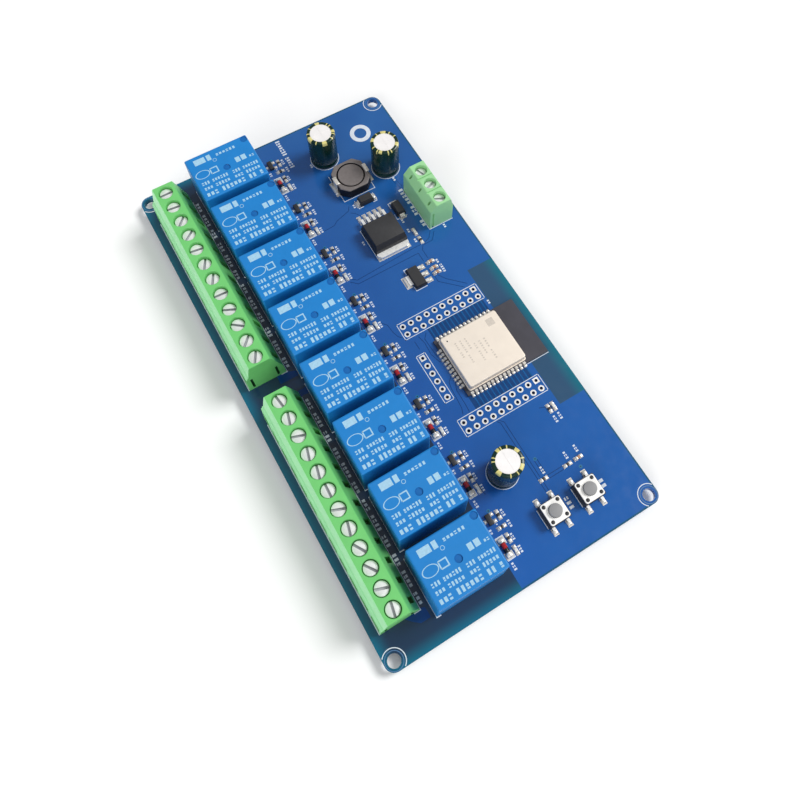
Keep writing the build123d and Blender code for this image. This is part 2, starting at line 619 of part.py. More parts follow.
def button_base():
    """The moulded base, with the dome's chamber and the four studs that hold the cover."""
    half = BUTTON_BODY_SIZE / 2 - BUTTON_STUD_INSET
    outline = chamfer(Rectangle(BUTTON_BODY_SIZE, BUTTON_BODY_SIZE).vertices(), BUTTON_CORNER_CHAMFER)
    base = Pos(0, 0, board_top) * extrude(outline, BUTTON_BODY_HEIGHT)
    chamber = prism(BUTTON_CHAMBER_DIAMETER / 2, BUTTON_CHAMBER_DEPTH, button_floor, ROUND_SIDES)
    stud_height = BUTTON_COVER_THICKNESS + BUTTON_STUD_PROUD
    studs = [block(BUTTON_STUD_SIZE, BUTTON_STUD_SIZE, stud_height, cover_bottom,
                   side_x * half, side_y * half)
             for side_x in (-1, 1) for side_y in (-1, 1)]
    return (base - chamber) + studs


def button_cover():
    """The metal cover plate, held by the studs, that keeps the plunger in."""
    half = BUTTON_BODY_SIZE / 2 - BUTTON_STUD_INSET
    size = BUTTON_BODY_SIZE - 2 * BUTTON_COVER_INSET
    outline = chamfer(Rectangle(size, size).vertices(), BUTTON_CORNER_CHAMFER)
    outline -= RegularPolygon(plunger_hole_radius, ROUND_SIDES)
    outline -= [Pos(side_x * half, side_y * half) * Rectangle(BUTTON_STUD_SIZE, BUTTON_STUD_SIZE)
                for side_x in (-1, 1) for side_y in (-1, 1)]
    return Pos(0, 0, cover_bottom) * extrude(outline, BUTTON_COVER_THICKNESS)


def button_plunger():
    """The plunger: a flange caught under the cover and a stem that stands out of it."""
    stem_radius = PLUNGER_DIAMETER / 2
    stem = prism(stem_radius, board_top + PLUNGER_TOP - flange_bottom, flange_bottom, ROUND_SIDES)
    flange_radius = stem_radius + PLUNGER_FLANGE_WIDTH
    return stem + prism(flange_radius, PLUNGER_FLANGE_THICKNESS, flange_bottom, ROUND_SIDES)


def button_dome():
    """The snap dome on the chamber's floor, just clear of the plunger at the end of its travel."""
    rise = flange_bottom - BUTTON_TRAVEL - DOME_GAP - DOME_THICKNESS - button_floor
    rim = DOME_DIAMETER / 2
    hollow = loft([RegularPolygon(rim - DOME_THICKNESS, DOME_SIDES),
                   Pos(0, 0, rise) * RegularPolygon(DOME_FLAT_DIAMETER / 2, DOME_SIDES)])
    shell = loft([RegularPolygon(rim, DOME_SIDES),
                  Pos(0, 0, rise + DOME_THICKNESS) * RegularPolygon(DOME_FLAT_DIAMETER / 2, DOME_SIDES)])
    return Pos(0, 0, button_floor) * (shell - hollow)


def button_legs():
    """The four legs, two at each side."""
    leg = gull_lead(BUTTON_LEG_REACH, BUTTON_LEG_FOOT, BUTTON_LEG_RISE, BUTTON_LEG_THICKNESS,
                    BUTTON_LEG_WIDTH)
    placed = Pos(BUTTON_BODY_SIZE / 2, 0, 0) * leg
    return [Rot(0, 0, turn) * Pos(0, side * BUTTON_LEG_SPACING / 2, 0) * placed
            for turn in (0, 180) for side in (-1, 1)]


def transistors():
    """The driver transistors and their leads: two towards the logic area and one towards the relay."""
    body = block(TRANSISTOR_LENGTH, TRANSISTOR_WIDTH, TRANSISTOR_HEIGHT, board_top)
    lead = block(TRANSISTOR_LEAD_REACH, TRANSISTOR_LEAD_WIDTH, TRANSISTOR_LEAD_THICKNESS, board_top,
                 TRANSISTOR_LEAD_REACH / 2)
    edge = TRANSISTOR_WIDTH / 2
    spots = [(-TRANSISTOR_LEAD_PITCH, edge, 90), (TRANSISTOR_LEAD_PITCH, edge, 90), (0, -edge, -90)]
    bodies = []
    leads = []
    for channel in range(RELAY_COUNT):
        x, y = channel_place(channel, TRANSISTOR_PLACE)
        bodies.append(Pos(x, y, 0) * body)
        leads += [Pos(x + dx, y + dy, 0) * Rot(0, 0, turn) * lead for dx, dy, turn in spots]
    return bodies, leads


def glass_diodes():
    """The flyback diodes: a glass tube with a square metal end at each side."""
    radius = GLASS_DIODE_DIAMETER / 2
    section = RegularPolygon(radius, GLASS_DIODE_SIDES, major_radius=False, rotation=180 / GLASS_DIODE_SIDES)
    glass = Rot(0, 90, 0) * extrude(section, GLASS_DIODE_LENGTH / 2, both=True)
    end_x = (GLASS_DIODE_LENGTH + GLASS_DIODE_END_LENGTH) / 2
    end = block(GLASS_DIODE_END_LENGTH, GLASS_DIODE_DIAMETER, GLASS_DIODE_DIAMETER, board_top)
    tubes = []
    ends = []
    for channel in range(RELAY_COUNT):
        x, y = channel_place(channel, GLASS_DIODE_PLACE)
        tubes.append(Pos(x, y, board_top + radius) * glass)
        ends += [Pos(x + side * end_x, y, 0) * end for side in (-1, 1)]
    return tubes, ends


def chips(places, height):
    """Two-ended chip parts, each placed by x, y and a turn."""
    chip = block(CHIP_LENGTH, CHIP_WIDTH, height, board_top)
    return [Pos(x, y, 0) * Rot(0, 0, turn) * chip for x, y, turn in places]


def resistor_places():
    """Every chip resistor: three in each channel, and those beside the lamps and buttons."""
    places = []
    for channel in range(RELAY_COUNT):
        places.append((*channel_place(channel, BASE_RESISTOR_PLACE), 0))
        places.append((*channel_place(channel, PULL_DOWN_RESISTOR_PLACE), 90))
        places.append((*channel_place(channel, LED_RESISTOR_PLACE), 0))
    places.append((*place_left(POWER_LED_RESISTOR_PLACE), 0))
    places.append((*place_right(RIGHT_LED_RESISTOR_PLACE), 0))
    places += [(*place_right(place), 90) for place in BUTTON_RESISTOR_PLACES]
    return places


def status_led_places():
    """Every lamp: one in each channel, one for the power and one beside the second header."""
    places = [(*channel_place(channel, STATUS_LED_PLACE), 0) for channel in range(RELAY_COUNT)]
    return places + [(*place_left(POWER_LED_PLACE), 0), (*place_right(RIGHT_LED_PLACE), 0)]


def chip_capacitor_places():
    """The chip capacitors: three beside the small regulator and one beside the buttons."""
    places = [(*place_left(place), 90) for place in CHIP_CAPACITOR_PLACES]
    return places + [(*place_right(BUTTON_CAPACITOR_PLACE), 90)]


def save(name, shape):
    """Writes one sub-part. A list of separate solids becomes one group."""
    solids = Compound(children=list(shape)) if isinstance(shape, (list, ShapeList)) else shape
    export_step(solids, os.path.join("parts", name + ".step"))


def save_output_terminals():
    """Both output blocks, with their screws, and all their cages and pins."""
    body = output_housing()
    for number, middle in enumerate(output_x, start=1):
        save(f"output_terminal_{number}", Pos(middle, output_line, 0) * body)
        save(f"output_screws_{number}", screws(middle, output_line, OUTPUT_POLES, OUTPUT_HEIGHT))
    save("output_cages", cages(output_pin_sections))
    save("output_pins", pins(output_pin_sections, cage_floor))


def save_power_terminal():
    """The power block, with its screws, cages and pins."""
    save("power_terminal", power_housing())
    save("power_screws", screws(power_x, power_line, POWER_POLES, POWER_HEIGHT))
    save("power_cages", cages(power_pin_sections))
    save("power_pins", pins(power_pin_sections, cage_floor))


def save_power_supply():
    """Inductor, regulators, power diodes and capacitors."""
    shield, drum, winding, feet = inductor()
    save("inductor_shield", shield)
    save("inductor_drum", drum)
    save("inductor_winding", winding)
    save("inductor_feet", feet)
    body, tab, leads = regulator()
    save("regulator_body", body)
    save("regulator_tab", tab)
    save("regulator_leads", leads)
    small_body, small_leads = small_regulator()
    save("small_regulator_body", small_body)
    save("small_regulator_leads", small_leads)
    bodies, diode_leads = power_diodes()
    save("power_diode_bodies", bodies)
    save("power_diode_leads", diode_leads)
    for number, (x, y) in enumerate(capacitor_places, start=1):
        save(f"capacitor_can_{number}", capacitor_can(x, y))
        save(f"capacitor_sleeve_{number}", capacitor_sleeve(x, y))
    save("capacitor_leads", pins(capacitor_lead_sections(), board_top))


def save_buttons():
    """Both push buttons, piece by piece."""
    pieces = {"base": button_base(), "cover": button_cover(),
              "plunger": button_plunger(), "dome": button_dome()}
    legs = button_legs()
    for number, (x, y) in enumerate(button_places, start=1):
        for name, piece in pieces.items():
            save(f"button_{number}_{name}", Pos(x, y, 0) * piece)
        save(f"button_{number}_legs", [Pos(x, y, 0) * leg for leg in legs])


def save_small_parts():
    """The driver parts of all channels and the other chip parts."""
    bodies, leads = transistors()
    save("transistor_bodies", bodies)
    save("transistor_leads", leads)
    tubes, ends = glass_diodes()
    save("flyback_diode_glass", tubes)
    save("flyback_diode_ends", ends)
    save("resistors", chips(resistor_places(), RESISTOR_HEIGHT))
    save("chip_capacitors", chips(chip_capacitor_places(), CHIP_CAPACITOR_HEIGHT))
    save("status_leds", chips(status_led_places(), STATUS_LED_HEIGHT))


def main():
    """Builds the whole board and writes one file for each sub-part."""
    os.makedirs("parts", exist_ok=True)
    save("circuit_board", circuit_board())
    for number, x in enumerate(relay_x, start=1):
        save(f"relay_{number}", relay(x))
    save("relay_pins", pins(relay_pin_sections(), board_top))
    save_output_terminals()
    save_power_terminal()
    save_power_supply()
    module_board, shield = radio_module()
    save("radio_board", module_board)
    save("radio_shield", shield)
    save_buttons()
    save_small_parts()
    print("board", round(board_length, 2), "by", round(board_width, 2))


main()
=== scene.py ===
import math

import bmesh
import bpy
from mathutils import Matrix, Vector


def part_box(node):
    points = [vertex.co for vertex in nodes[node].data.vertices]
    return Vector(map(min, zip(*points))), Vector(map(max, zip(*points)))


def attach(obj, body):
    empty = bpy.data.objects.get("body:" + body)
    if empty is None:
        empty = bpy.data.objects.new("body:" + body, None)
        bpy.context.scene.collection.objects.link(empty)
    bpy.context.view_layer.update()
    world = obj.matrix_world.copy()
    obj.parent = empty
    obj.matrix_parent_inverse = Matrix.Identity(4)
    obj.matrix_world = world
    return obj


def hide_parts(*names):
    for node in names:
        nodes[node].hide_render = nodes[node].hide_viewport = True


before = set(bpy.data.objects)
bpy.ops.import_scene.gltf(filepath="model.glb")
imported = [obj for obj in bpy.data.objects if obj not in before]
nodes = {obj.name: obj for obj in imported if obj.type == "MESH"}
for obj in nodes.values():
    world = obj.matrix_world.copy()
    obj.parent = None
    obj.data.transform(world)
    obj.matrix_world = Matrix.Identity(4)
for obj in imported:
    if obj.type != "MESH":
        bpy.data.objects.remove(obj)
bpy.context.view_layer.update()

# Lengths are in millimetres, and become metres when a piece is made
MM = 0.001
BODY = "board"

# The camera, at the photograph's viewing angle
CAMERA_PLACE = (73.8, -34.4, 198.1)
CAMERA_TURN = (24.23, -1.74, 58.81)
CAMERA_LENS = 34.81
CAMERA_SHIFT = (-0.0444, -0.1041)


def span(node):
    """Lowest and highest corner of a CAD node in millimetres."""
    low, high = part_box(node)
    return low / MM, high / MM


def middle(node):
    """The middle of a CAD node's box in millimetres."""
    low, high = span(node)
    return (low + high) / 2


board_low, board_high = span("circuit_board")
TOP = board_high.z
relay_places = [middle(f"relay_{number}") for number in range(1, 9)]
relay_low, relay_high = span("relay_1")


# Materials
def shade(red, green, blue):
    """A colour as it looks on a screen, from 0 to 255, as the shader's linear values."""
    levels = []
    for part in (red, green, blue):
        share = part / 255
        levels.append(share / 12.92 if share <= 0.04045 else ((share + 0.055) / 1.055) ** 2.4)
    return (*levels, 1.0)


def feed(tree, socket, value):
    """Links an input to an output, or gives it a value."""
    if isinstance(value, bpy.types.NodeSocket):
        tree.links.new(value, socket)
    else:
        socket.default_value = value


def add_node(tree, kind, inputs, **settings):
    """A shader node with its settings, and its inputs linked or given values."""
    node = tree.nodes.new(kind)
    for name, value in settings.items():
        setattr(node, name, value)
    for name, value in inputs.items():
        feed(tree, node.inputs[name], value)
    return node


def noise(tree, place, size, detail=2.0):
    """Soft noise with features of about the given size."""
    inputs = {"Vector": place, "Scale": 1 / (size * MM), "Detail": detail}
    return add_node(tree, "ShaderNodeTexNoise", inputs).outputs["Fac"]


def mix(tree, factor, first, second):
    """A blend of two colours."""
    node = add_node(tree, "ShaderNodeMix", {"Factor": factor}, data_type="RGBA")
    for name, value in (("A", first), ("B", second)):
        feed(tree, [item for item in node.inputs if item.name == name and item.type == "RGBA"][0], value)
    return [item for item in node.outputs if item.type == "RGBA"][0]


def step(tree, value, low, high):
    """0 below low, 1 above high, and smooth between them."""
    inputs = {"Value": value, "From Min": low, "From Max": high}
    return add_node(tree, "ShaderNodeMapRange", inputs, interpolation_type="SMOOTHSTEP").outputs["Result"]


def spread(tree, value, low, high):
    """Noise stretched over a range."""
    inputs = {"Value": value, "From Min": 0.3, "From Max": 0.7, "To Min": low, "To Max": high}
    return add_node(tree, "ShaderNodeMapRange", inputs).outputs["Result"]


def calculate(tree, operation, first, second):
    """One arithmetic step on two values."""
    node = add_node(tree, "ShaderNodeMath", {}, operation=operation)
    for socket, value in zip(node.inputs, (first, second)):
        feed(tree, socket, value)
    return node.outputs[0]


def start_material(name):
    """An empty material with its node tree, shader and object coordinates."""
    material = bpy.data.materials.new(name)
    material.use_nodes = True
    tree = material.node_tree
    place = add_node(tree, "ShaderNodeTexCoord", {}).outputs["Object"]
    return material, tree, tree.nodes["Principled BSDF"], place


def finish_surface(tree, shader, place, rough, grain, depth):
    """Uneven gloss and a fine relief of a given grain size and depth."""
    uneven = spread(tree, noise(tree, place, grain * 8), rough - 0.05, rough + 0.05)
    tree.links.new(uneven, shader.inputs["Roughness"])
    inputs = {"Height": noise(tree, place, grain, 4.0), "Strength": 0.5, "Distance": depth * MM}
    bump = add_node(tree, "ShaderNodeBump", inputs)
    tree.links.new(bump.outputs["Normal"], shader.inputs["Normal"])


def coat(name, colour, rough=0.45, metal=0.0, mottle=0.06, patch=3.0, grain=0.15, depth=0.01, gloss=0.5):
    """A moulded, plated or painted finish: its tone drifts a little and its surface has a grain."""
    material, tree, shader, place = start_material(name)
    light = tuple(min(1.0, part * (1 + mottle)) for part in colour[:3])
    dark = tuple(part * (1 - mottle) for part in colour[:3])
    factor = spread(tree, noise(tree, place, patch), 0.0, 1.0)
    tree.links.new(mix(tree, factor, (*dark, 1.0), (*light, 1.0)), shader.inputs["Base Color"])
    shader.inputs["Metallic"].default_value = metal
    shader.inputs["Specular IOR Level"].default_value = gloss
    finish_surface(tree, shader, place, rough, grain, depth)
    return material


POUR = shade(26, 92, 168)
# Painted light: the mask over copper turns greyer towards the -X end, away from the camera
POUR_FAR_PAINTED_LIGHT = shade(36, 94, 160)
POUR_DEEP = shade(20, 82, 156)
BARE = shade(25, 52, 80)
# Painted glow: the bare laminate turns teal near the board's edges, as light comes in through them
BARE_EDGE_PAINTED_GLOW = shade(0, 104, 132)
KEEP_OUT = shade(44, 80, 112)
# Painted glow: the keep-out zone's bare laminate turns teal near the board's +Y edge, as light comes in
# through it
KEEP_OUT_PAINTED_GLOW = shade(8, 106, 126)
RIM = shade(18, 84, 116)
MAINS_EDGE = -3.0
KEEP_OUT_X = (-6.0, 40.1)
KEEP_OUT_Y = 31.4
ZONE_SOFTNESS = 0.05


def board_coat():
    """Solder mask: over copper, over bare laminate in the mains and aerial zones, and along the edges."""
    material, tree, shader, place = start_material("board_mask")

    def past(value, edge):
        """0 before the edge of a zone and 1 past it."""
        return step(tree, value, (edge - ZONE_SOFTNESS) * MM, (edge + ZONE_SOFTNESS) * MM)

    def rest(value):
        """What a value leaves of one."""
        return calculate(tree, "SUBTRACT", 1.0, value)

    parts = add_node(tree, "ShaderNodeSeparateXYZ", {"Vector": place}).outputs
    x, y = parts["X"], parts["Y"]
    half_x, half_y = board_high.x * MM, board_high.y * MM
    from_end = calculate(tree, "SUBTRACT", half_x, calculate(tree, "ABSOLUTE", x, 0.0))
    from_side = calculate(tree, "SUBTRACT", half_y, calculate(tree, "ABSOLUTE", y, 0.0))
    from_edge = calculate(tree, "MINIMUM", from_end, from_side)
    drift = noise(tree, place, 9.0)
    # Painted light: the mask greys towards the -X end
    pour = mix(tree, step(tree, x, -75 * MM, 60 * MM), POUR_FAR_PAINTED_LIGHT, POUR)
    pour = mix(tree, spread(tree, drift, 0.0, 0.4), pour, POUR_DEEP)
    # Painted glow towards the board's edges in the bare mains zone
    bare = mix(tree, rest(step(tree, from_edge, -0.8 * MM, 3.8 * MM)), BARE, BARE_EDGE_PAINTED_GLOW)
    # Painted glow towards the board's +Y edge in the keep-out zone
    keep_out = mix(tree, step(tree, y, 35.5 * MM, 39.8 * MM), KEEP_OUT, KEEP_OUT_PAINTED_GLOW)
    in_keep_out = calculate(tree, "MULTIPLY", past(y, KEEP_OUT_Y), past(x, KEEP_OUT_X[0]))
    in_keep_out = calculate(tree, "MULTIPLY", in_keep_out, rest(past(x, KEEP_OUT_X[1])))
    colour = mix(tree, rest(step(tree, from_edge, 0.35 * MM, 0.5 * MM)), pour, RIM)
    colour = mix(tree, rest(past(y, MAINS_EDGE)), colour, bare)
    colour = mix(tree, in_keep_out, colour, keep_out)
    tree.links.new(colour, shader.inputs["Base Color"])
    shader.inputs["Specular IOR Level"].default_value = 0.5
    finish_surface(tree, shader, place, 0.16, 0.3, 0.003)
    return material


MASK = board_coat()
RELAY_BLUE = coat("relay_blue", shade(26, 126, 200), rough=0.42, mottle=0.03, grain=0.08, depth=0.012,
                  gloss=0.35)
# Painted shade: the relay case's own blue, darkened for the dimples' hollows
DIMPLE_PAINTED_SHADE = coat("dimple_painted_shade", shade(22, 104, 176), rough=0.42, mottle=0.03, gloss=0.25)
RELAY_PRINT = coat("relay_print", shade(160, 202, 226), rough=0.6, mottle=0.08, patch=0.6)
MOULDED = {"rough": 0.4, "mottle": 0.03, "grain": 0.3, "depth": 0.0015}
GREEN = coat("terminal_green", shade(113, 202, 114), **MOULDED)
# Painted light: the terminal green made paler for the faces that turn towards -Y
FRONT_PAINTED_LIGHT = coat("terminal_front_painted_light", shade(166, 240, 178), **MOULDED)
PALE_GREEN = coat("power_green", shade(156, 216, 154), **MOULDED)
SCREW_STEEL = coat("screw_plating", shade(248, 248, 249), rough=0.32, metal=0.3, mottle=0.04, grain=0.2)
# Painted shade: the screw plating darkened for the faces inside the slots
SLOT_PAINTED_SHADE = coat("slot_painted_shade", shade(198, 200, 204), rough=0.5, metal=0.3, mottle=0.06)
# Painted shade: the terminal green darkened for the faces inside the end grooves
GROOVE_PAINTED_SHADE = coat("recess_painted_shade", shade(30, 84, 46), rough=0.5, mottle=0.03, gloss=0.2)
CAGE_STEEL = coat("cage_plating", shade(190, 192, 196), rough=0.35, metal=0.9, mottle=0.06)
TIN = coat("tinned_copper", shade(244, 243, 240), rough=0.32, metal=0.35, mottle=0.06, patch=0.8, grain=0.1,
           depth=0.015)
SOLDER = coat("solder", shade(226, 222, 214), rough=0.3, metal=0.5, mottle=0.12, patch=0.5, grain=0.1,
              depth=0.015)
SLEEVE = coat("sleeve_green", shade(14, 46, 36), rough=0.25, mottle=0.15, patch=1.5, grain=0.4, depth=0.006,
              gloss=0.35)
SLEEVE_GOLD = coat("sleeve_gold", shade(214, 204, 128), rough=0.3, mottle=0.1, patch=0.6)
ALUMINIUM = coat("can_aluminium", shade(246, 243, 242), rough=0.42, metal=0.15, mottle=0.03, depth=0.008)
FERRITE = coat("ferrite", shade(116, 109, 107), rough=0.55, mottle=0.08, patch=1.0, grain=0.12)
FERRITE_SIDE = coat("ferrite_side", shade(26, 28, 36), rough=0.6, mottle=0.1, patch=1.0, gloss=0.2)
COPPER = coat("winding_copper", shade(150, 78, 40), rough=0.35, metal=0.8, mottle=0.15, patch=0.5)
PACKAGE = coat("package_black", shade(40, 40, 43), rough=0.55, mottle=0.1, patch=1.2, grain=0.08, depth=0.015)
SHIELD = coat("shield_metal", shade(238, 226, 211), rough=0.45, metal=0.25, mottle=0.02, patch=4.0, grain=0.2,
              depth=0.003)
SHIELD_PRINT = coat("shield_print", shade(208, 198, 186), rough=0.5, metal=0.3, mottle=0.06, patch=0.5)
RADIO_BLACK = coat("radio_black", shade(66, 65, 73), rough=0.5, mottle=0.08, gloss=0.3)
COVER = coat("cover_steel", shade(253, 251, 247), rough=0.4, metal=0.05, mottle=0.02)
PLUNGER = coat("plunger_grey", shade(146, 146, 147), rough=0.5, mottle=0.03, grain=0.08, gloss=0.3)
CHIP_BODY = coat("chip_ceramic", shade(52, 47, 46), rough=0.4, mottle=0.15, patch=0.4)
CAPACITOR_BODY = coat("capacitor_ceramic", shade(176, 134, 104), rough=0.45, mottle=0.12, patch=0.5)
LAMP = coat("lamp_white", shade(226, 226, 220), rough=0.35, mottle=0.05, patch=0.5)
RED_GLASS = coat("red_glass", shade(176, 36, 38), rough=0.12, mottle=0.15, patch=0.4)
# Black of the diode bands and the radio's dot, also used as painted shade in the via holes
BLACK_AND_HOLE_SHADE = coat("band_black_and_hole_shade", shade(24, 22, 26), rough=0.3, mottle=0.1)
VIA_TEAL = coat("via_teal", shade(20, 108, 154), rough=0.3, mottle=0.08)
GAP_BLUE = coat("trace_gap", shade(16, 56, 108), rough=0.25, mottle=0.06, gloss=0.25)
FIELD_BLUE = coat("bare_field", shade(20, 64, 118), rough=0.25, mottle=0.06, gloss=0.25)
TRACE_BLUE = coat("bare_trace", shade(22, 90, 150), rough=0.22, mottle=0.06, gloss=0.25)
PATCH_BLUE = coat("copper_patch", shade(14, 62, 124), rough=0.22, mottle=0.06, gloss=0.25)
SILK = coat("silkscreen", shade(214, 222, 232), rough=0.6, mottle=0.05, patch=0.8)
RIM_BLUE = coat("hole_rim", shade(70, 112, 156), rough=0.4, mottle=0.06, patch=0.8)


# Shapes
def slab(bm, points, bottom, top):
    """An upright prism on an outline."""
    low = [bm.verts.new((x, y, bottom)) for x, y in points]
    high = [bm.verts.new((x, y, top)) for x, y in points]
    bm.faces.new(low[::-1])
    bm.faces.new(high)
    for near, far, near_top, far_top in zip(low, low[1:] + low[:1], high, high[1:] + high[:1]):
        bm.faces.new((near, far, far_top, near_top))


def rectangle(x, y, width, depth, turn=0.0):
    """The corners of a rectangle about a centre."""
    spin = Matrix.Rotation(math.radians(turn), 2)
    corners = [(-width, -depth), (width, -depth), (width, depth), (-width, depth)]
    return [tuple(spin @ Vector((dx / 2, dy / 2)) + Vector((x, y))) for dx, dy in corners]


def band(bm, pairs, bottom, top, closed=False):
    """A flat bar between two lines of points, given as pairs across its width."""
    rows = []
    for left, right in pairs:
        corners = ((*left, bottom), (*left, top), (*right, top), (*right, bottom))
        rows.append([bm.verts.new(corner) for corner in corners])
    follow = rows[1:] + rows[:1] if closed else rows[1:]
    for first, second in zip(rows, follow):
        for here in range(4):
            beside = (here + 1) % 4
            bm.faces.new((first[here], first[beside], second[beside], second[here]))
    if not closed:
        bm.faces.new(rows[0])
        bm.faces.new(rows[-1][::-1])


def ring(bm, x, y, inner, outer, bottom, top, sides=32, start=0.0, sweep=360.0):
    """A flat ring, or an arc of one where the sweep is less than a whole turn."""
    closed = sweep >= 360
    count = sides if closed else sides + 1
    pairs = []
    for number in range(count):
        angle = math.radians(start + sweep * number / sides)
        way = Vector((math.cos(angle), math.sin(angle)))
        pairs.append((tuple(Vector((x, y)) + way * inner), tuple(Vector((x, y)) + way * outer)))
    band(bm, pairs, bottom, top, closed)


def line(bm, points, width, bottom, top):
    """A flat bar that follows a line of points, mitred at its bends."""
    spots = [Vector(point) for point in points]
    ways = [(after - before).normalized() for before, after in zip(spots, spots[1:])]
    pairs = []
    for number, spot in enumerate(spots):
        beside = ways[max(number - 1, 0):number + 1] or ways[-1:]
        normals = [Vector((-way.y, way.x)) for way in beside]
        mean = sum(normals, Vector((0.0, 0.0))).normalized()
        reach = mean * (width / 2 / max(mean.dot(normals[0]), 0.4))
        pairs.append((tuple(spot + reach), tuple(spot - reach)))
    band(bm, pairs, bottom, top)


def lathe(bm, profile, sides=32, coats=()):
    """A turned form about Z from points of radius and height, with a coat number for each run."""
    rows = []
    for radius, height in profile:
        if radius == 0:
            rows.append([bm.verts.new((0, 0, height))])
            continue
        angles = [2 * math.pi * number / sides for number in range(sides)]
        rows.append([bm.verts.new((radius * math.cos(a), radius * math.sin(a), height)) for a in angles])
    for number, (first, second) in enumerate(zip(rows, rows[1:])):
        for here in range(sides):
            beside = (here + 1) % sides
            corners = [first[here % len(first)], first[beside % len(first)],
                       second[beside % len(second)], second[here % len(second)]]
            face = bm.faces.new(list(dict.fromkeys(corners)))
            face.material_index = coats[number] if coats else 0


def turned(profile, sides=32, coats=()):
    """A turned form of its own."""
    bm = bmesh.new()
    lathe(bm, profile, sides, coats)
    return bm


def rod(radius, bottom, top, sides=20):
    """A plain upright rod."""
    return turned(((0, bottom), (radius, bottom), (radius, top), (0, top)), sides)


def round_off(bm, edges, radius, segments=2):
    """Rounds edges of a form."""
    bmesh.ops.bevel(bm, geom=edges, offset=radius, segments=segments, profile=0.5, affect="EDGES",
                    material=-1)


def move(bm, x, y, z):
    """Moves a whole form."""
    bmesh.ops.translate(bm, vec=(x, y, z), verts=bm.verts)


def block(width, depth, height):
    """A sharp block, centred on X and Y and standing on z = 0."""
    bm = bmesh.new()
    bmesh.ops.create_cube(bm, size=1.0)
    bmesh.ops.scale(bm, vec=(width, depth, height), verts=bm.verts)
    move(bm, 0, 0, height / 2)
    return bm


def chunk(width, depth, height, radius, segments=2, coat_index=0):
    """A block with rounded edges."""
    bm = block(width, depth, height)
    if radius:
        round_off(bm, bm.edges[:], radius, segments)
    for face in bm.faces:
        face.material_index = coat_index
    return keep(bm)


def rounded_plate(width, depth, height, corner, edge):
    """A flat plate with rounded corners and a softened upper edge."""
    bm = block(width, depth, height)
    upright = [side for side in bm.edges if abs(side.verts[0].co.z - side.verts[1].co.z) > height / 2]
    round_off(bm, upright, corner, 5)
    if edge:
        rim = [side for side in bm.edges if all(vert.co.z > height - MM for vert in side.verts)]
        round_off(bm, rim, edge)
    return bm


def keep(bm):
    """The mesh of a form that is used several times."""
    mesh = bpy.data.meshes.new("form")
    bm.to_mesh(mesh)
    bm.free()
    return mesh


def at(x, y, z=0.0, turn=0.0):
    """A place with a turn about Z."""
    return Matrix.Translation((x, y, z)) @ Matrix.Rotation(math.radians(turn), 4, "Z")


def stamp(bm, form, place):
    """Adds a copy of a form at a place."""
    known = len(bm.verts)
    bm.from_mesh(form)
    bm.verts.ensure_lookup_table()
    bmesh.ops.transform(bm, matrix=place, verts=bm.verts[known:])


def cut(bm, cutter):
    """A form less another one. Both are closed, and both are used up."""
    things = []
    for source in (bm, cutter):
        bmesh.ops.recalc_face_normals(source, faces=source.faces)
        thing = bpy.data.objects.new("form", keep(source))
        bpy.context.scene.collection.objects.link(thing)
        things.append(thing)
    modifier = things[0].modifiers.new("cut", "BOOLEAN")
    modifier.object = things[1]
    modifier.solver = "EXACT"
    graph = bpy.context.evaluated_depsgraph_get()
    result = bmesh.new()
    result.from_mesh(things[0].evaluated_get(graph).to_mesh())
    for thing in things:
        bpy.data.objects.remove(thing)
    return result


LARGE_FLAT = 6.0
FLAT_ANGLE = 4.0
SHARP_ANGLE = 35.0


def piece(name, bm, coats, hides=(), body=BODY):
    """Makes a scene piece of a form, shaded smooth but for large flats and sharp edges."""
    bmesh.ops.recalc_face_normals(bm, faces=bm.faces)
    for face in bm.faces:
        face.smooth = True
    for edge in bm.edges:
        limit = FLAT_ANGLE if any(face.calc_area() > LARGE_FLAT for face in edge.link_faces) else SHARP_ANGLE
        edge.smooth = edge.is_manifold and edge.calc_face_angle(0.0) < math.radians(limit)
    bm.transform(Matrix.Scale(MM, 4))
    mesh = keep(bm)
    mesh.name = name
    for item in coats:
        mesh.materials.append(item)
    thing = bpy.data.objects.new(name, mesh)
    bpy.context.scene.collection.objects.link(thing)
    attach(thing, body)
    if hides:
        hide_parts(*hides)


def dress(node, *coats):
    """Gives a CAD node that stays its finish."""
    slots = nodes[node].material_slots
    for place, item in zip(slots, coats):
        place.material = item


# Relays
RELAY_TAPER = 0.7
RELAY_EDGE = 0.4
DIMPLE_RADIUS = 1.0
DIMPLE_DEPTH = 0.35
DIMPLE_PLACES = ((0.14, 0.23), (-6.14, 8.18))


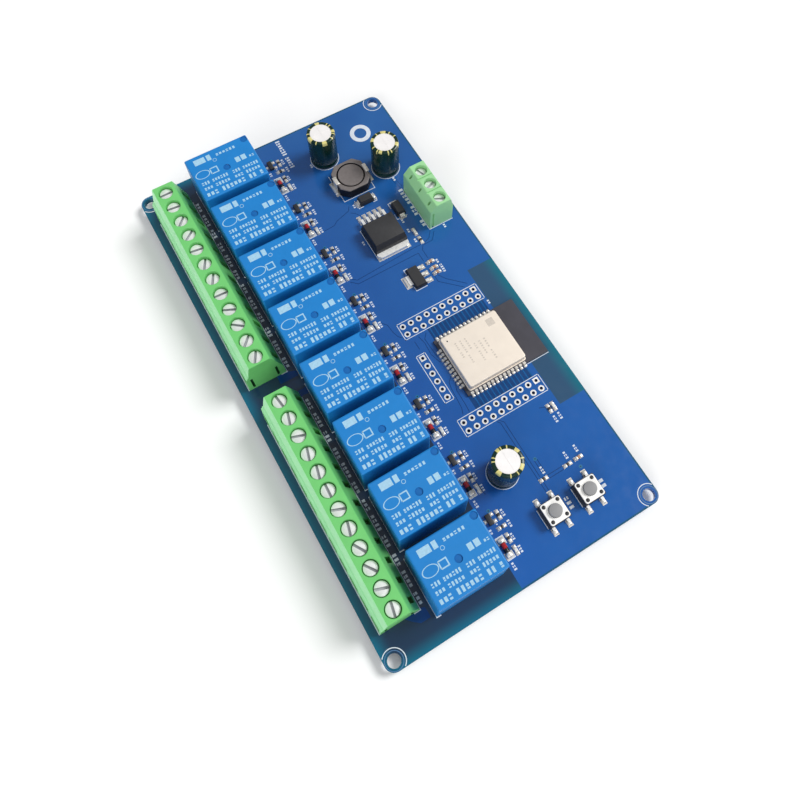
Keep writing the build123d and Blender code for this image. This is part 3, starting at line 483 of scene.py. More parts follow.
def relay_form():
    """The relay's case: tapered walls, rounded edges and two shallow round dimples in its top."""
    size = relay_high - relay_low
    inset = math.tan(math.radians(RELAY_TAPER)) * size.z
    bm = bmesh.new()
    bmesh.ops.create_cube(bm, size=1.0)
    for vert in bm.verts:
        shrink = inset if vert.co.z > 0 else 0.0
        vert.co.x = math.copysign(size.x / 2 - shrink, vert.co.x)
        vert.co.y = math.copysign(size.y / 2 - shrink, vert.co.y)
        vert.co.z = size.z if vert.co.z > 0 else 0.0
    edges = [edge for edge in bm.edges if any(vert.co.z > 0 for vert in edge.verts)]
    round_off(bm, edges, RELAY_EDGE, 3)
    floor = size.z - DIMPLE_DEPTH
    dish = keep(turned(((0, floor), (DIMPLE_RADIUS * 0.85, floor), (DIMPLE_RADIUS, size.z - DIMPLE_DEPTH / 2),
                        (DIMPLE_RADIUS, size.z + 1), (0, size.z + 1)), 28))
    cutter = bmesh.new()
    for x, y in DIMPLE_PLACES:
        stamp(cutter, dish, at(x, y))
    case = cut(bm, cutter)
    for face in case.faces:
        spot = face.calc_center_median()
        off = min((spot.xy - Vector(place)).length for place in DIMPLE_PLACES)
        # Faces in the dimples take the painted shade
        face.material_index = int(off < DIMPLE_RADIUS + MM and floor - DIMPLE_DEPTH < spot.z < size.z - MM)
    return keep(case)


relay_case = relay_form()
for number, place in enumerate(relay_places, start=1):
    case = bmesh.new()
    stamp(case, relay_case, at(place.x, place.y, TOP))
    piece(f"relay_case_{number}", case, [RELAY_BLUE, DIMPLE_PAINTED_SHADE], hides=[f"relay_{number}"])


# Terminal blocks
POLE_PITCH = 5.08
WELL_RADIUS = 2.0
POWER_WELL_RADIUS = 1.75
NECK_WIDTH = 2.8
CHAMBER_WIDTH = 3.8
CHAMBER_FLOOR = 1.0
CHAMBER_HEIGHT = 5.0
CHAMBER_BACK = 1.7
WELL_DEPTH = 2.7
WELL_LIP = 0.15
OUTPUT_HEIGHT = 13.0
OUTPUT_PROFILE = ((-5.15, 0.0), (-4.75, 6.9), (-4.4, 7.2), (-4.3, 7.75), (-3.9, 8.05), (-3.85, 8.6),
                  (-2.95, 12.8), (-2.75, 13.0), (2.85, 13.0), (3.05, 12.8), (3.9, 9.9), (5.4, 4.7),
                  (5.55, 0.0))
POWER_HEIGHT = 10.5
POWER_PROFILE = ((3.2, 0.0), (3.2, 6.9), (3.1, 7.15), (2.35, 10.3), (2.15, 10.5), (-2.2, 10.5), (-2.4, 10.4),
                 (-4.2, 8.25), (-4.3, 8.0), (-4.3, 0.0))


def pole_x(low, high, poles):
    """The X of each pole between two ends of a block."""
    centre = (low + high) / 2
    return [centre + (pole - (poles - 1) / 2) * POLE_PITCH for pole in range(poles)]


def pole_cutter(height, front, way, radius):
    """What is cut from a housing at one pole. Way is -1 where the wire comes in from -Y, and 1 from +Y."""
    well = turned(((0, height - WELL_DEPTH), (radius, height - WELL_DEPTH), (radius, height - WELL_LIP),
                   (radius + WELL_LIP, height + 0.01), (radius + WELL_LIP, height + 1), (0, height + 1)), 40)
    chamber = bmesh.new()
    slab(chamber, rectangle(0, way * (front + 1 - CHAMBER_BACK) / 2, CHAMBER_WIDTH, front + 1 + CHAMBER_BACK),
         CHAMBER_FLOOR, CHAMBER_FLOOR + CHAMBER_HEIGHT)
    neck = bmesh.new()
    slab(neck, rectangle(0, 0, NECK_WIDTH, NECK_WIDTH), CHAMBER_FLOOR + CHAMBER_HEIGHT - 0.05,
         height - WELL_DEPTH + 0.05)
    return [keep(form) for form in (well, chamber, neck)]


def housing(low, high, line_y, profile, poles, height, front, way, radius):
    """A moulded housing: its profile drawn out along X, less wells, chambers and necks."""
    bm = bmesh.new()
    rows = [[bm.verts.new((x, line_y + y, TOP + z)) for y, z in profile] for x in (low, high)]
    bm.faces.new(rows[0])
    bm.faces.new(rows[1][::-1])
    for here in range(len(profile)):
        beside = (here + 1) % len(profile)
        bm.faces.new((rows[0][here], rows[1][here], rows[1][beside], rows[0][beside]))
    for form in pole_cutter(height, front, way, radius):
        cutter = bmesh.new()
        for x in pole_x(low, high, poles):
            stamp(cutter, form, at(x, line_y, TOP))
        bm = cut(bm, cutter)
    return bm


OUTPUT_POLES = 12
POWER_POLES = 3
FRONT_START = 2.8
TEST_SLOT = (1.7, 1.2, 7.8)
TEST_SLOT_LINE = 4.5
TEST_SLOT_BOTTOM = 2.0
END_GROOVE = (0.65, 0.6)
END_GROOVE_HEIGHTS = (0.9, 6.4)
END_GROOVE_LINES = (-3.5, 3.5)


def output_block(number):
    """One output block with its test slots and end grooves."""
    node = f"output_terminal_{number}"
    low, high = span(node)
    line_y = middle(f"output_screws_{number}").y
    bm = housing(low.x, high.x, line_y, OUTPUT_PROFILE, OUTPUT_POLES, OUTPUT_HEIGHT, 5.15, -1, WELL_RADIUS)
    cutter = bmesh.new()
    width, depth, height = TEST_SLOT
    for x in pole_x(low.x, high.x, OUTPUT_POLES):
        slab(cutter, rectangle(x, line_y + TEST_SLOT_LINE, width, depth), TOP + TEST_SLOT_BOTTOM,
             TOP + TEST_SLOT_BOTTOM + height)
    for end in (low.x, high.x):
        for side in END_GROOVE_LINES:
            slab(cutter, rectangle(end, line_y + side, 2 * END_GROOVE[1], END_GROOVE[0]),
                 TOP + END_GROOVE_HEIGHTS[0], TOP + END_GROOVE_HEIGHTS[1])
    block = cut(bm, cutter)
    for face in block.faces:
        spot = face.calc_center_median()
        from_end = min(spot.x - low.x, high.x - spot.x)
        from_groove = min(abs(spot.y - line_y - side) for side in END_GROOVE_LINES)
        # Faces turned towards -Y at the front take the painted light
        if face.normal.y < -0.5 and spot.y < line_y - FRONT_START:
            face.material_index = 1
        # Faces inside the end grooves take the painted shade
        if MM < from_end < END_GROOVE[1] + MM and from_groove < END_GROOVE[0] / 2 + MM and spot.z > TOP + MM:
            face.material_index = 2
    piece(f"output_block_{number}", block, [GREEN, FRONT_PAINTED_LIGHT, GROOVE_PAINTED_SHADE], hides=[node])


for number in (1, 2):
    output_block(number)

POWER_GROOVE = (0.4, 9.0, 0.35)
POWER_SLIT_RADIUS = 0.36
POWER_SLIT_STRETCH = 2.2
POWER_SLIT_TURN = 50


def power_block():
    """The power block with its test holes, its grooves between poles and an end groove."""
    low, high = span("power_terminal")
    line_y = middle("power_screws").y
    bm = housing(low.x, high.x, line_y, POWER_PROFILE, POWER_POLES, POWER_HEIGHT, 3.2, 1, POWER_WELL_RADIUS)
    cutter = bmesh.new()
    width, length, depth = POWER_GROOVE
    for joint in (1, 2):
        slab(cutter, rectangle(low.x + joint * POLE_PITCH, line_y - 0.5, width, length),
             TOP + POWER_HEIGHT - depth, TOP + POWER_HEIGHT + 1)
    slit = rod(POWER_SLIT_RADIUS, 0, 3)
    bmesh.ops.scale(slit, vec=(1.0, POWER_SLIT_STRETCH, 1.0), verts=slit.verts)
    slit_form = keep(slit)
    tilt = Matrix.Rotation(math.radians(POWER_SLIT_TURN), 4, "X")
    for x in pole_x(low.x, high.x, POWER_POLES):
        place = Matrix.Translation((x, line_y - 3.35, TOP + 9.3)) @ tilt
        stamp(cutter, slit_form, place @ Matrix.Translation((0, 0, -1.5)))
    for end in (low.x, high.x):
        slab(cutter, rectangle(end, line_y - 3.3, 0.7, 0.55), TOP - 0.1, TOP + 7.2)
    piece("power_block", cut(bm, cutter), [PALE_GREEN], hides=["power_terminal"])


power_block()

HEAD_RADIUS = 1.78
HEAD_EDGE = 0.14
HEAD_HEIGHT = 1.6
HEAD_RECESS = 1.05
POWER_HEAD_RADIUS = 1.6
POWER_HEAD_RECESS = 1.4
SLOT_WIDTH = 0.66
SLOT_DEPTH = 0.8
SHANK_RADIUS = 1.25
OUTPUT_TURNS = {1: (91, 84, 136, 128, 82, 150, 151, 88, 65, 52, 135, 150),
                2: (8, 164, 71, 164, 166, 178, 69, 165, 31, 35, 71, 168)}
POWER_TURNS = (20, 110, 65)


def screw_form(radius, slot_depth):
    """A slotted cheese-head screw about z = 0 at the top of its head."""
    head = turned(((0, -HEAD_HEIGHT), (radius, -HEAD_HEIGHT), (radius, -HEAD_EDGE),
                   (radius - HEAD_EDGE / 2, -HEAD_EDGE / 4), (radius - HEAD_EDGE, 0), (0, 0)), 40)
    slot = bmesh.new()
    slab(slot, rectangle(0, 0, 3 * radius, SLOT_WIDTH), -slot_depth, 1.0)
    head = cut(head, slot)
    for face in head.faces:
        spot = face.calc_center_median()
        # Faces inside the slot take the painted shade
        face.material_index = int(abs(spot.y) < SLOT_WIDTH / 2 + MM and -slot_depth - MM < spot.z < -MM)
    stamp(head, keep(rod(SHANK_RADIUS, -5.0, -HEAD_HEIGHT, 16)), Matrix.Identity(4))
    return keep(head)


def set_screws(name, node, block_node, turns, form, height):
    """The screws of one block, each left at its own turn."""
    low, high = span(block_node)
    line_y = middle(node).y
    bm = bmesh.new()
    for x, turn in zip(pole_x(low.x, high.x, len(turns)), turns):
        stamp(bm, form, at(x, line_y, TOP + height, turn))
    piece(name, bm, [SCREW_STEEL, SLOT_PAINTED_SHADE], hides=[node])


screw = screw_form(HEAD_RADIUS, SLOT_DEPTH)
for number in (1, 2):
    set_screws(f"output_screw_set_{number}", f"output_screws_{number}", f"output_terminal_{number}",
               OUTPUT_TURNS[number], screw, OUTPUT_HEIGHT - HEAD_RECESS)
set_screws("power_screw_set", "power_screws", "power_terminal", POWER_TURNS,
           screw_form(POWER_HEAD_RADIUS, SLOT_DEPTH / 2), POWER_HEIGHT - POWER_HEAD_RECESS)


# Capacitors
CAPACITOR_RADIUS = 4.1
CAPACITOR_HEIGHT = 12.3
SLEEVE_SIDES = 72
GOLD_PATCHES = ((4, 11, 0.5), (24, 51, 0.9), (69, 76, 0.4), (99, 121, 1.1), (149, 156, 0.5), (174, 181, 0.9),
                (184, 201, 0.5), (224, 231, 0.9), (239, 246, 0.5), (279, 301, 1.1), (334, 341, 0.5))


def capacitor(number):
    """A can in a shrunk sleeve: crimp groove near the foot, curled lip, and a scored top."""
    place = middle(f"capacitor_can_{number}")
    radius, top = CAPACITOR_RADIUS, CAPACITOR_HEIGHT
    sleeve = turned(((radius - 0.6, 0.0), (radius - 0.15, 0.05), (radius, 0.3), (radius, 1.1),
                     (radius - 0.22, 1.45), (radius - 0.22, 1.65), (radius, 2.0), (radius, top - 1.1),
                     (radius, top - 0.5), (radius - 0.12, top - 0.16), (radius - 0.4, top),
                     (radius - 0.95, top), (radius - 1.0, top - 0.1), (radius - 0.65, top - 0.4),
                     (radius - 0.65, 0.3), (radius - 0.6, 0.0)), SLEEVE_SIDES)
    bmesh.ops.remove_doubles(sleeve, verts=sleeve.verts, dist=0.0001)
    for face in sleeve.faces:
        spot = face.calc_center_median()
        share = (math.degrees(math.atan2(spot.y, spot.x)) + 120 * number) % 360
        if any(start < share < end and top - spot.z < reach for start, end, reach in GOLD_PATCHES):
            face.material_index = 1
    move(sleeve, place.x, place.y, TOP)
    piece(f"capacitor_wrap_{number}", sleeve, [SLEEVE, SLEEVE_GOLD], hides=[f"capacitor_sleeve_{number}"])
    can = turned(((0, 0.02), (radius - 0.72, 0.02), (radius - 0.72, top - 0.6), (radius - 0.85, top - 0.18),
                  (0, top - 0.18)), 40)
    for turn in (0, 90):
        score = bmesh.new()
        slab(score, rectangle(0, 0, 5.0, 0.14, turn), top - 0.24, top + 1)
        can = cut(can, score)
    move(can, place.x, place.y, TOP)
    piece(f"capacitor_top_{number}", can, [ALUMINIUM], hides=[f"capacitor_can_{number}"])


for number in (1, 2, 3):
    capacitor(number)

# Solder and small parts
DRIVER_LINE = relay_high.y
HEADER_LINE = DRIVER_LINE + 11.57
CHIP = (1.6, 0.8)


def mound(width, depth, height, coat_index=0):
    """A small heap of solder with sloping rounded sides."""
    bm = bmesh.new()
    stamp(bm, chunk(width, depth, height, 0.0, coat_index=coat_index), Matrix.Identity(4))
    for vert in bm.verts:
        if vert.co.z > height / 2:
            vert.co.x *= 0.72
            vert.co.y *= 0.78
    edges = [edge for edge in bm.edges if any(vert.co.z > height / 2 for vert in edge.verts)]
    round_off(bm, edges, min(width, depth, 2 * height) * 0.22)
    return keep(bm)


def chip_form(height, body_width=0.9, end_width=0.44):
    """A chip part with a coat for its body and one for its soldered ends."""
    bm = bmesh.new()
    stamp(bm, chunk(body_width, CHIP[1], height, 0.06), at(0, 0, TOP + 0.02))
    cap = chunk(end_width, CHIP[1] + 0.04, height + 0.02, 0.07, coat_index=1)
    heap = mound(0.8, 0.98, height * 0.8, coat_index=1)
    pad = chunk(1.0, 1.05, 0.05, 0.0, coat_index=1)
    for side in (-1, 1):
        stamp(bm, cap, at(side * (CHIP[0] - end_width) / 2, 0, TOP + 0.02))
        stamp(bm, heap, at(side * (CHIP[0] / 2 + 0.1), 0, TOP))
        stamp(bm, pad, at(side * (CHIP[0] / 2 + 0.05), 0, TOP - 0.02))
    return keep(bm)


channels = [place.x for place in relay_places]
resistor_spots = [(x + dx, DRIVER_LINE + dy, turn) for x in channels
                  for dx, dy, turn in ((-4.8, 6.42, 0), (-1.85, 5.52, 90), (1.2, 5.52, 0))]
resistor_spots += [(-21.2, 24.99, 0), (39.7, 28.19, 0), (54.35, 16.34, 90), (54.4, 23.74, 90)]
capacitor_spots = [(-13.65, 23.69, 90), (-11.5, 23.69, 90), (-9.8, 23.69, 90), (54.3, 27.19, 90)]
lamp_spots = [(x + 4.55, DRIVER_LINE + 5.52, 0) for x in channels] + [(-24.4, 24.84, 0), (39.7, 29.59, 0)]


def place_chips(name, node, form, spots, coats):
    """All chip parts of one kind."""
    bm = bmesh.new()
    for x, y, turn in spots:
        stamp(bm, form, at(x, y, 0, turn))
    piece(name, bm, coats, hides=[node])


place_chips("resistor_set", "resistors", chip_form(0.45), resistor_spots, [CHIP_BODY, SOLDER])
place_chips("chip_capacitor_set", "chip_capacitors", chip_form(0.78, 0.95), capacitor_spots,
            [CAPACITOR_BODY, SOLDER])
place_chips("lamp_set", "status_leds", chip_form(0.6, 0.95, 0.3), lamp_spots, [LAMP, SOLDER])


# Transistors and glass diodes of the channels
DIODE_SPOT = (2.8, 3.4)
TRANSISTOR_SPOT = (-4.85, 3.75)


def glass_diode_form():
    """A glass diode on its side: red towards -X, black towards +X, and round metal ends in solder."""
    bm = bmesh.new()
    lathe(bm, ((0, -1.3), (0.62, -1.3), (0.68, -1.2), (0.68, 0.2), (0.69, 0.25), (0.69, 1.1), (0.68, 1.2),
               (0.62, 1.3), (0, 1.3)), 20, (1, 1, 0, 1, 1, 1, 1, 1))
    for side in (-1, 1):
        end = bmesh.new()
        lathe(end, ((0, 0.42), (0.6, 0.42), (0.72, 0.34), (0.72, 0.08), (0.64, 0), (0, 0)), 20, (2,) * 5)
        stamp(bm, keep(end), Matrix.Translation((0, 0, side * 1.5 - 0.21)))
    form = bmesh.new()
    stamp(form, keep(bm), Matrix.Translation((0, 0, TOP + 0.72)) @ Matrix.Rotation(math.radians(90), 4, "Y"))
    heap = mound(1.5, 1.9, 0.9, coat_index=2)
    pad = chunk(1.8, 2.1, 0.05, 0.0, coat_index=2)
    for side in (-1, 1):
        stamp(form, heap, at(side * 1.95, 0, TOP))
        stamp(form, pad, at(side * 1.95, 0, TOP - 0.02))
    return keep(form)


def transistor_form():
    """A three-lead package with rounded edges and solder on its feet."""
    bm = bmesh.new()
    stamp(bm, chunk(2.9, 1.3, 0.95, 0.12), at(0, 0, TOP + 0.05))
    heap = mound(0.85, 0.95, 0.4, coat_index=1)
    pad = chunk(0.95, 1.15, 0.05, 0.0, coat_index=1)
    for dx, dy in ((-0.95, 1.1), (0.95, 1.1), (0, -1.05)):
        stamp(bm, heap, at(dx, dy, TOP))
        stamp(bm, pad, at(dx, dy, TOP - 0.02))
    return keep(bm)


def place_channels():
    """The diode and the transistor of every channel."""
    diodes, transistors = bmesh.new(), bmesh.new()
    diode, transistor = glass_diode_form(), transistor_form()
    for x in channels:
        stamp(diodes, diode, at(x + DIODE_SPOT[0], DRIVER_LINE + DIODE_SPOT[1]))
        stamp(transistors, transistor, at(x + TRANSISTOR_SPOT[0], DRIVER_LINE + TRANSISTOR_SPOT[1]))
    piece("glass_diode_set", diodes, [RED_GLASS, BLACK_AND_HOLE_SHADE, SOLDER],
          hides=["flyback_diode_glass", "flyback_diode_ends"])
    piece("transistor_set", transistors, [PACKAGE, SOLDER], hides=["transistor_bodies"])


place_channels()


# Power parts
def inductor():
    """The shield with its rounded edges and bore, and the drum with its winding."""
    low, high = span("inductor_shield")
    centre = (low + high) / 2
    half, corner = (high.x - low.x) / 2, 2.1
    outline = []
    for sx, sy in ((1, -1), (1, 1), (-1, 1), (-1, -1)):
        ends = [(sx * half, sy * (half - corner)), (sx * (half - corner), sy * half)]
        outline += ends if sx * sy > 0 else ends[::-1]
    bm = bmesh.new()
    slab(bm, outline, low.z, high.z)
    round_off(bm, bm.edges[:], 0.3, 3)
    bore = turned(((0, low.z - 1), (4.2, low.z - 1), (4.2, high.z - 0.12), (4.35, high.z + 0.02),
                   (4.35, high.z + 1), (0, high.z + 1)), 40)
    shield = cut(bm, bore)
    for face in shield.faces:
        face.material_index = int(face.calc_center_median().z < high.z - 0.35)
    move(shield, centre.x, centre.y, 0)
    piece("inductor_case", shield, [FERRITE, FERRITE_SIDE], hides=["inductor_shield"])
    drum = turned(((0, low.z + 0.02), (3.5, low.z + 0.02), (3.5, low.z + 0.9), (2.0, low.z + 0.9),
                   (2.0, high.z - 0.9), (3.72, high.z - 0.9), (3.78, high.z - 0.8), (3.78, high.z - 0.14),
                   (3.66, high.z - 0.03), (0, high.z - 0.03)), 40)
    move(drum, centre.x, centre.y, 0)
    piece("inductor_core", drum, [FERRITE], hides=["inductor_drum"])
    turns = [(2.05, low.z + 0.95)]
    for layer in range(5):
        height = low.z + 1.1 + layer * 0.38
        turns += [(3.2, height - 0.16), (3.4, height), (3.2, height + 0.16)]
    winding = turned((*turns, (2.05, high.z - 0.95)))
    bmesh.ops.holes_fill(winding, edges=[edge for edge in winding.edges if edge.is_boundary])
    move(winding, centre.x, centre.y, 0)
    piece("inductor_coil", winding, [COPPER], hides=["inductor_winding"])
    feet = bmesh.new()
    for side in (-1, 1):
        stamp(feet, chunk(5.2, 1.7, 0.28, 0.1), at(centre.x, centre.y + side * 5.35, TOP))
        stamp(feet, chunk(2.4, 0.3, 3.9, 0.08), at(centre.x, centre.y + side * 5.2, TOP + 0.1))
        stamp(feet, chunk(2.9, 1.15, 0.34, 0.12), at(centre.x, centre.y + side * 4.9, high.z - 0.04))
        stamp(feet, mound(4.6, 1.3, 0.75), at(centre.x, centre.y + side * 5.55, TOP))
    stamp(feet, chunk(4.4, 9.0, 0.26, 0.05), at(centre.x, centre.y, TOP))
    piece("inductor_clips", feet, [SOLDER], hides=["inductor_feet"])


def chamfered_body(width, depth, height, slope):
    """A moulded package whose upper half draws in towards its top."""
    bm = bmesh.new()
    waist = height * 0.42
    slab(bm, rectangle(0, 0, width, depth), 0, waist)
    top = [face for face in bm.faces if all(vert.co.z > waist - 0.01 for vert in face.verts)]
    grown = bmesh.ops.extrude_face_region(bm, geom=top)
    bmesh.ops.delete(bm, geom=top, context="FACES_ONLY")
    for item in grown["geom"]:
        if isinstance(item, bmesh.types.BMVert):
            item.co.z = height
            item.co.x -= math.copysign(slope, item.co.x)
            item.co.y -= math.copysign(slope, item.co.y)
    round_off(bm, bm.edges[:], 0.06)
    return keep(bm)


def regulator():
    """The large regulator's body with its sloped edges and the dot at its first lead."""
    place = middle("regulator_body")
    low, high = span("regulator_body")
    bm = bmesh.new()
    stamp(bm, chunk(high.x - low.x, high.y - low.y, 2.6, 0.1), at(place.x, place.y, TOP + 0.05))
    upper = bmesh.new()
    slab(upper, rectangle(0, 0, high.x - low.x - 0.1, high.y - low.y - 0.1), 2.4, high.z - TOP)
    for vert in upper.verts:
        if vert.co.z > 3:
            vert.co.x += 0.45 if vert.co.x < 0 else -0.9
            vert.co.y -= math.copysign(0.35, vert.co.y)
    round_off(upper, upper.edges[:], 0.12, 3)
    height = high.z - TOP
    dish = turned(((0, height - 0.12), (0.45, height - 0.12), (0.5, height + 1), (0, height + 1)), 24)
    move(dish, -2.9, 3.5, 0)
    stamp(bm, keep(cut(upper, dish)), at(place.x, place.y, TOP))
    piece("regulator_case", bm, [PACKAGE], hides=["regulator_body"])
    solder = bmesh.new()
    for number in range(5):
        lead_y = place.y + (number - 2) * 1.7
        stamp(solder, mound(2.7, 1.15, 0.5), at(-35.45, lead_y, TOP))
        stamp(solder, chunk(3.0, 1.2, 0.05, 0.0), at(-35.5, lead_y, TOP - 0.02))
    stamp(solder, chunk(2.2, 10.5, 0.06, 0.0), at(-21.9, place.y, TOP - 0.02))
    stamp(solder, mound(0.5, 9.2, 0.7), at(-21.25, place.y, TOP))
    piece("regulator_solder", solder, [SOLDER])


def small_regulator():
    """The small regulator's body, and solder on its leads and tab."""
    low, high = span("small_regulator_body")
    place = middle("small_regulator_body")
    bm = bmesh.new()
    stamp(bm, chamfered_body(high.x - low.x, high.y - low.y, 1.7, 0.22), at(place.x, place.y, TOP))
    piece("small_regulator_case", bm, [PACKAGE], hides=["small_regulator_body"])
    solder = bmesh.new()
    for side in (-1, 0, 1):
        stamp(solder, mound(1.3, 1.6, 0.5), at(place.x + side * 2.3, high.y + 1.2, TOP))
        stamp(solder, chunk(1.5, 1.9, 0.05, 0.0), at(place.x + side * 2.3, high.y + 1.25, TOP - 0.02))
    stamp(solder, mound(3.6, 1.5, 0.5), at(place.x, low.y - 1.2, TOP))
    stamp(solder, chunk(3.9, 1.9, 0.05, 0.0), at(place.x, low.y - 1.25, TOP - 0.02))
    piece("small_regulator_solder", solder, [SOLDER])


def power_diodes():
    """The two rectifiers with their sloped edges, and solder at their leads."""
    bodies, solder = bmesh.new(), bmesh.new()
    form = chamfered_body(4.4, 2.7, 2.1, 0.28)
    heap = mound(1.3, 1.9, 0.8)
    for x, y, turn in ((-40.8, 17.74, 90), (-33.3, 24.49, 0)):
        stamp(bodies, form, at(x, y, TOP, turn))
        for side in (-1, 1):
            spot = Matrix.Translation((side * 2.55, 0, 0))
            stamp(solder, heap, at(x, y, TOP, turn) @ spot)
            stamp(solder, chunk(1.6, 2.1, 0.05, 0.0), at(x, y, TOP - 0.02, turn) @ spot)
    piece("power_diode_cases", bodies, [PACKAGE], hides=["power_diode_bodies"])
    piece("power_diode_solder", solder, [SOLDER])


inductor()
regulator()
small_regulator()
power_diodes()


# Radio module
RADIO_PITCH = 1.27
RADIO_SIDE_PADS = 14
RADIO_END_PADS = 10
RADIO_FIRST_PAD = 12.95
RADIO_END_FIRST = 11.4
RADIO_DOT = (10.75, 14.25)


def radio():
    """The radio's board with its soldered edge pads, and its drawn shield with rounded edges."""
    low, high = span("radio_board")
    bm = bmesh.new()
    stamp(bm, chunk(high.x - low.x, high.y - low.y, high.z - low.z, 0.05, 1),
          at((low.x + high.x) / 2, (low.y + high.y) / 2, low.z))
    piece("radio_card", bm, [RADIO_BLACK], hides=["radio_board"])
    pads = bmesh.new()
    face = chunk(0.9, 0.75, 0.86, 0.08, 1)
    heap = mound(0.95, 0.9, 0.5)
    spots = []
    for number in range(RADIO_SIDE_PADS):
        y = RADIO_FIRST_PAD + number * RADIO_PITCH
        spots += [(low.x, y, 90), (high.x, y, -90)]
    spots += [(RADIO_END_FIRST + number * RADIO_PITCH, low.y, 180) for number in range(RADIO_END_PADS)]
    for x, y, turn in spots:
        stamp(pads, face, at(x, y, TOP, turn) @ Matrix.Translation((0, -0.33, 0)))
        stamp(pads, heap, at(x, y, TOP, turn) @ Matrix.Translation((0, 0.38, 0)))
    piece("radio_pads", pads, [SOLDER])
    low, high = span("radio_shield")
    width, depth, height = high - low
    centre = (low + high) / 2
    shell = block(width, depth, height)
    move(shell, centre.x, centre.y, low.z)
    upright = [edge for edge in shell.edges if abs(edge.verts[0].co.z - edge.verts[1].co.z) > 0.5]
    round_off(shell, upright, 0.7, 4)
    rim = [edge for edge in shell.edges if all(vert.co.z > high.z - 0.01 for vert in edge.verts)]
    round_off(shell, rim, 0.28, 3)
    hollow = bmesh.new()
    slab(hollow, rectangle(centre.x, centre.y, width - 0.5, depth - 0.5), low.z - 1, high.z - 0.25)
    dot, paint = rod(0.22, 0, 1), rod(0.2, 0, 0.05)
    for form in (dot, paint):
        move(form, *RADIO_DOT, high.z - 0.1)
    cover = cut(cut(shell, hollow), dot)
    stamp(cover, keep(rounded_plate(width + 0.5, depth + 0.5, 0.3, 0.7, 0.08)),
          at(centre.x, centre.y, low.z + 0.01))
    piece("radio_cover", cover, [SHIELD], hides=["radio_shield"])
    piece("radio_dot", paint, [BLACK_AND_HOLE_SHADE])


radio()


# Push buttons
STUD_PLACES = ((-2.075, -2.075), (-2.075, 2.075), (2.075, -2.075), (2.075, 2.075))
LEG_PLACES = ((-4.1, -2.15), (-4.1, 2.15), (4.1, -2.15), (4.1, 2.15))


def push_button(number):
    """A push button: base, cover with its hole, four riveted studs, and the plunger that travels."""
    centre = middle(f"button_{number}_cover")
    low, high = span(f"button_{number}_cover")
    width, depth, thickness = high - low
    base = cut(rounded_plate(6.0, 6.0, low.z - TOP, 0.35, 0.0), rod(2.2, 1.5, 5.0, 40))
    stud = keep(turned(((0, 0), (0.5, 0), (0.5, 0.44), (0.4, 0.52), (0, 0.56)), 20))
    hole = turned(((0, -1), (1.76, -1), (1.76, thickness - 0.05), (1.84, thickness + 0.01), (1.84, 1),
                   (0, 1)), 40)
    eye = keep(rod(0.48, -1, 1))
    for x, y in STUD_PLACES:
        stamp(base, stud, at(x, y, low.z - TOP - 0.08))
        stamp(hole, eye, at(x, y))
    move(base, centre.x, centre.y, TOP)
    piece(f"button_{number}_body", base, [PACKAGE], hides=[f"button_{number}_base"])
    plate = cut(rounded_plate(width, depth, thickness, 0.55, 0.08), hole)
    move(plate, centre.x, centre.y, low.z)
    piece(f"button_{number}_plate", plate, [COVER], hides=[f"button_{number}_cover"])
    bottom, top = span(f"button_{number}_plunger")
    stem = turned(((0, bottom.z), (2.05, bottom.z), (2.05, bottom.z + 0.7), (1.69, bottom.z + 0.7),
                   (1.69, top.z - 0.14), (1.64, top.z - 0.04), (1.54, top.z), (0, top.z)), 40)
    move(stem, centre.x, centre.y, 0)
    piece(f"button_{number}_stem", stem, [PLUNGER], hides=[f"button_{number}_plunger"],
          body=f"button_{number}")
    solder = bmesh.new()
    heap, pad = mound(1.5, 1.35, 0.45), chunk(1.9, 1.4, 0.05, 0.0)
    for dx, dy in LEG_PLACES:
        stamp(solder, heap, at(centre.x + dx, centre.y + dy, TOP))
        stamp(solder, pad, at(centre.x + dx, centre.y + dy, TOP - 0.02))
    piece(f"button_{number}_solder", solder, [SOLDER])


for number in (1, 2):
    push_button(number)


# Pads, vias and solder joints
FIRST_HEADERS = (-0.07, 31.42)
SIDE_HEADER = 10.59
PITCH = 2.54
PAD_FOOT = TOP - 0.01
PAD_TOP = TOP + 0.035
HOLE_RADIUS = 0.45
header_spots = [(first + column * PITCH, HEADER_LINE + row * PITCH, column == 0 and row == 9)
                for first in FIRST_HEADERS for column in (0, 1) for row in range(10)]
header_spots += [(SIDE_HEADER + column * PITCH, HEADER_LINE, column == 0) for column in range(6)]
via_spots = [(x - 6.82, DRIVER_LINE + 4.78) for x in channels] + [(48.9, 17.4), (56.5, 26.4)]


def square_pad(bm, x, y, half, bottom, top):
    """A square pad with a round hole."""
    pairs = []
    for number in range(32):
        angle = 2 * math.pi * number / 32
        way = Vector((math.cos(angle), math.sin(angle)))
        reach = half / max(abs(way.x), abs(way.y))
        pairs.append((tuple(Vector((x, y)) + way * HOLE_RADIUS), tuple(Vector((x, y)) + way * reach)))
    band(bm, pairs, bottom, top, True)


def pads_and_vias():
    """Tinned rings round every header hole on both faces, and small rings at the vias with painted shade in
    their holes.
    """
    bm = bmesh.new()
    faces = ((PAD_FOOT, PAD_TOP), (board_low.z - 0.035, board_low.z + 0.01))
    for bottom, top in faces:
        for x, y, first in header_spots:
            if first:
                square_pad(bm, x, y, 0.82, bottom, top)
            else:
                ring(bm, x, y, HOLE_RADIUS, 0.86, bottom, top)
    piece("header_pads", bm, [TIN])
    rings, hole_shades = bmesh.new(), bmesh.new()
    for x, y in via_spots:
        ring(rings, x, y, 0.17, 0.5, PAD_FOOT, TOP + 0.02, 20)
        # Painted shade: a black disc where each via's hole is
        ring(hole_shades, x, y, 0.02, 0.17, PAD_FOOT, TOP + 0.005, 20)
    piece("via_rings", rings, [VIA_TEAL])
    piece("via_hole_painted_shade", hole_shades, [BLACK_AND_HOLE_SHADE])


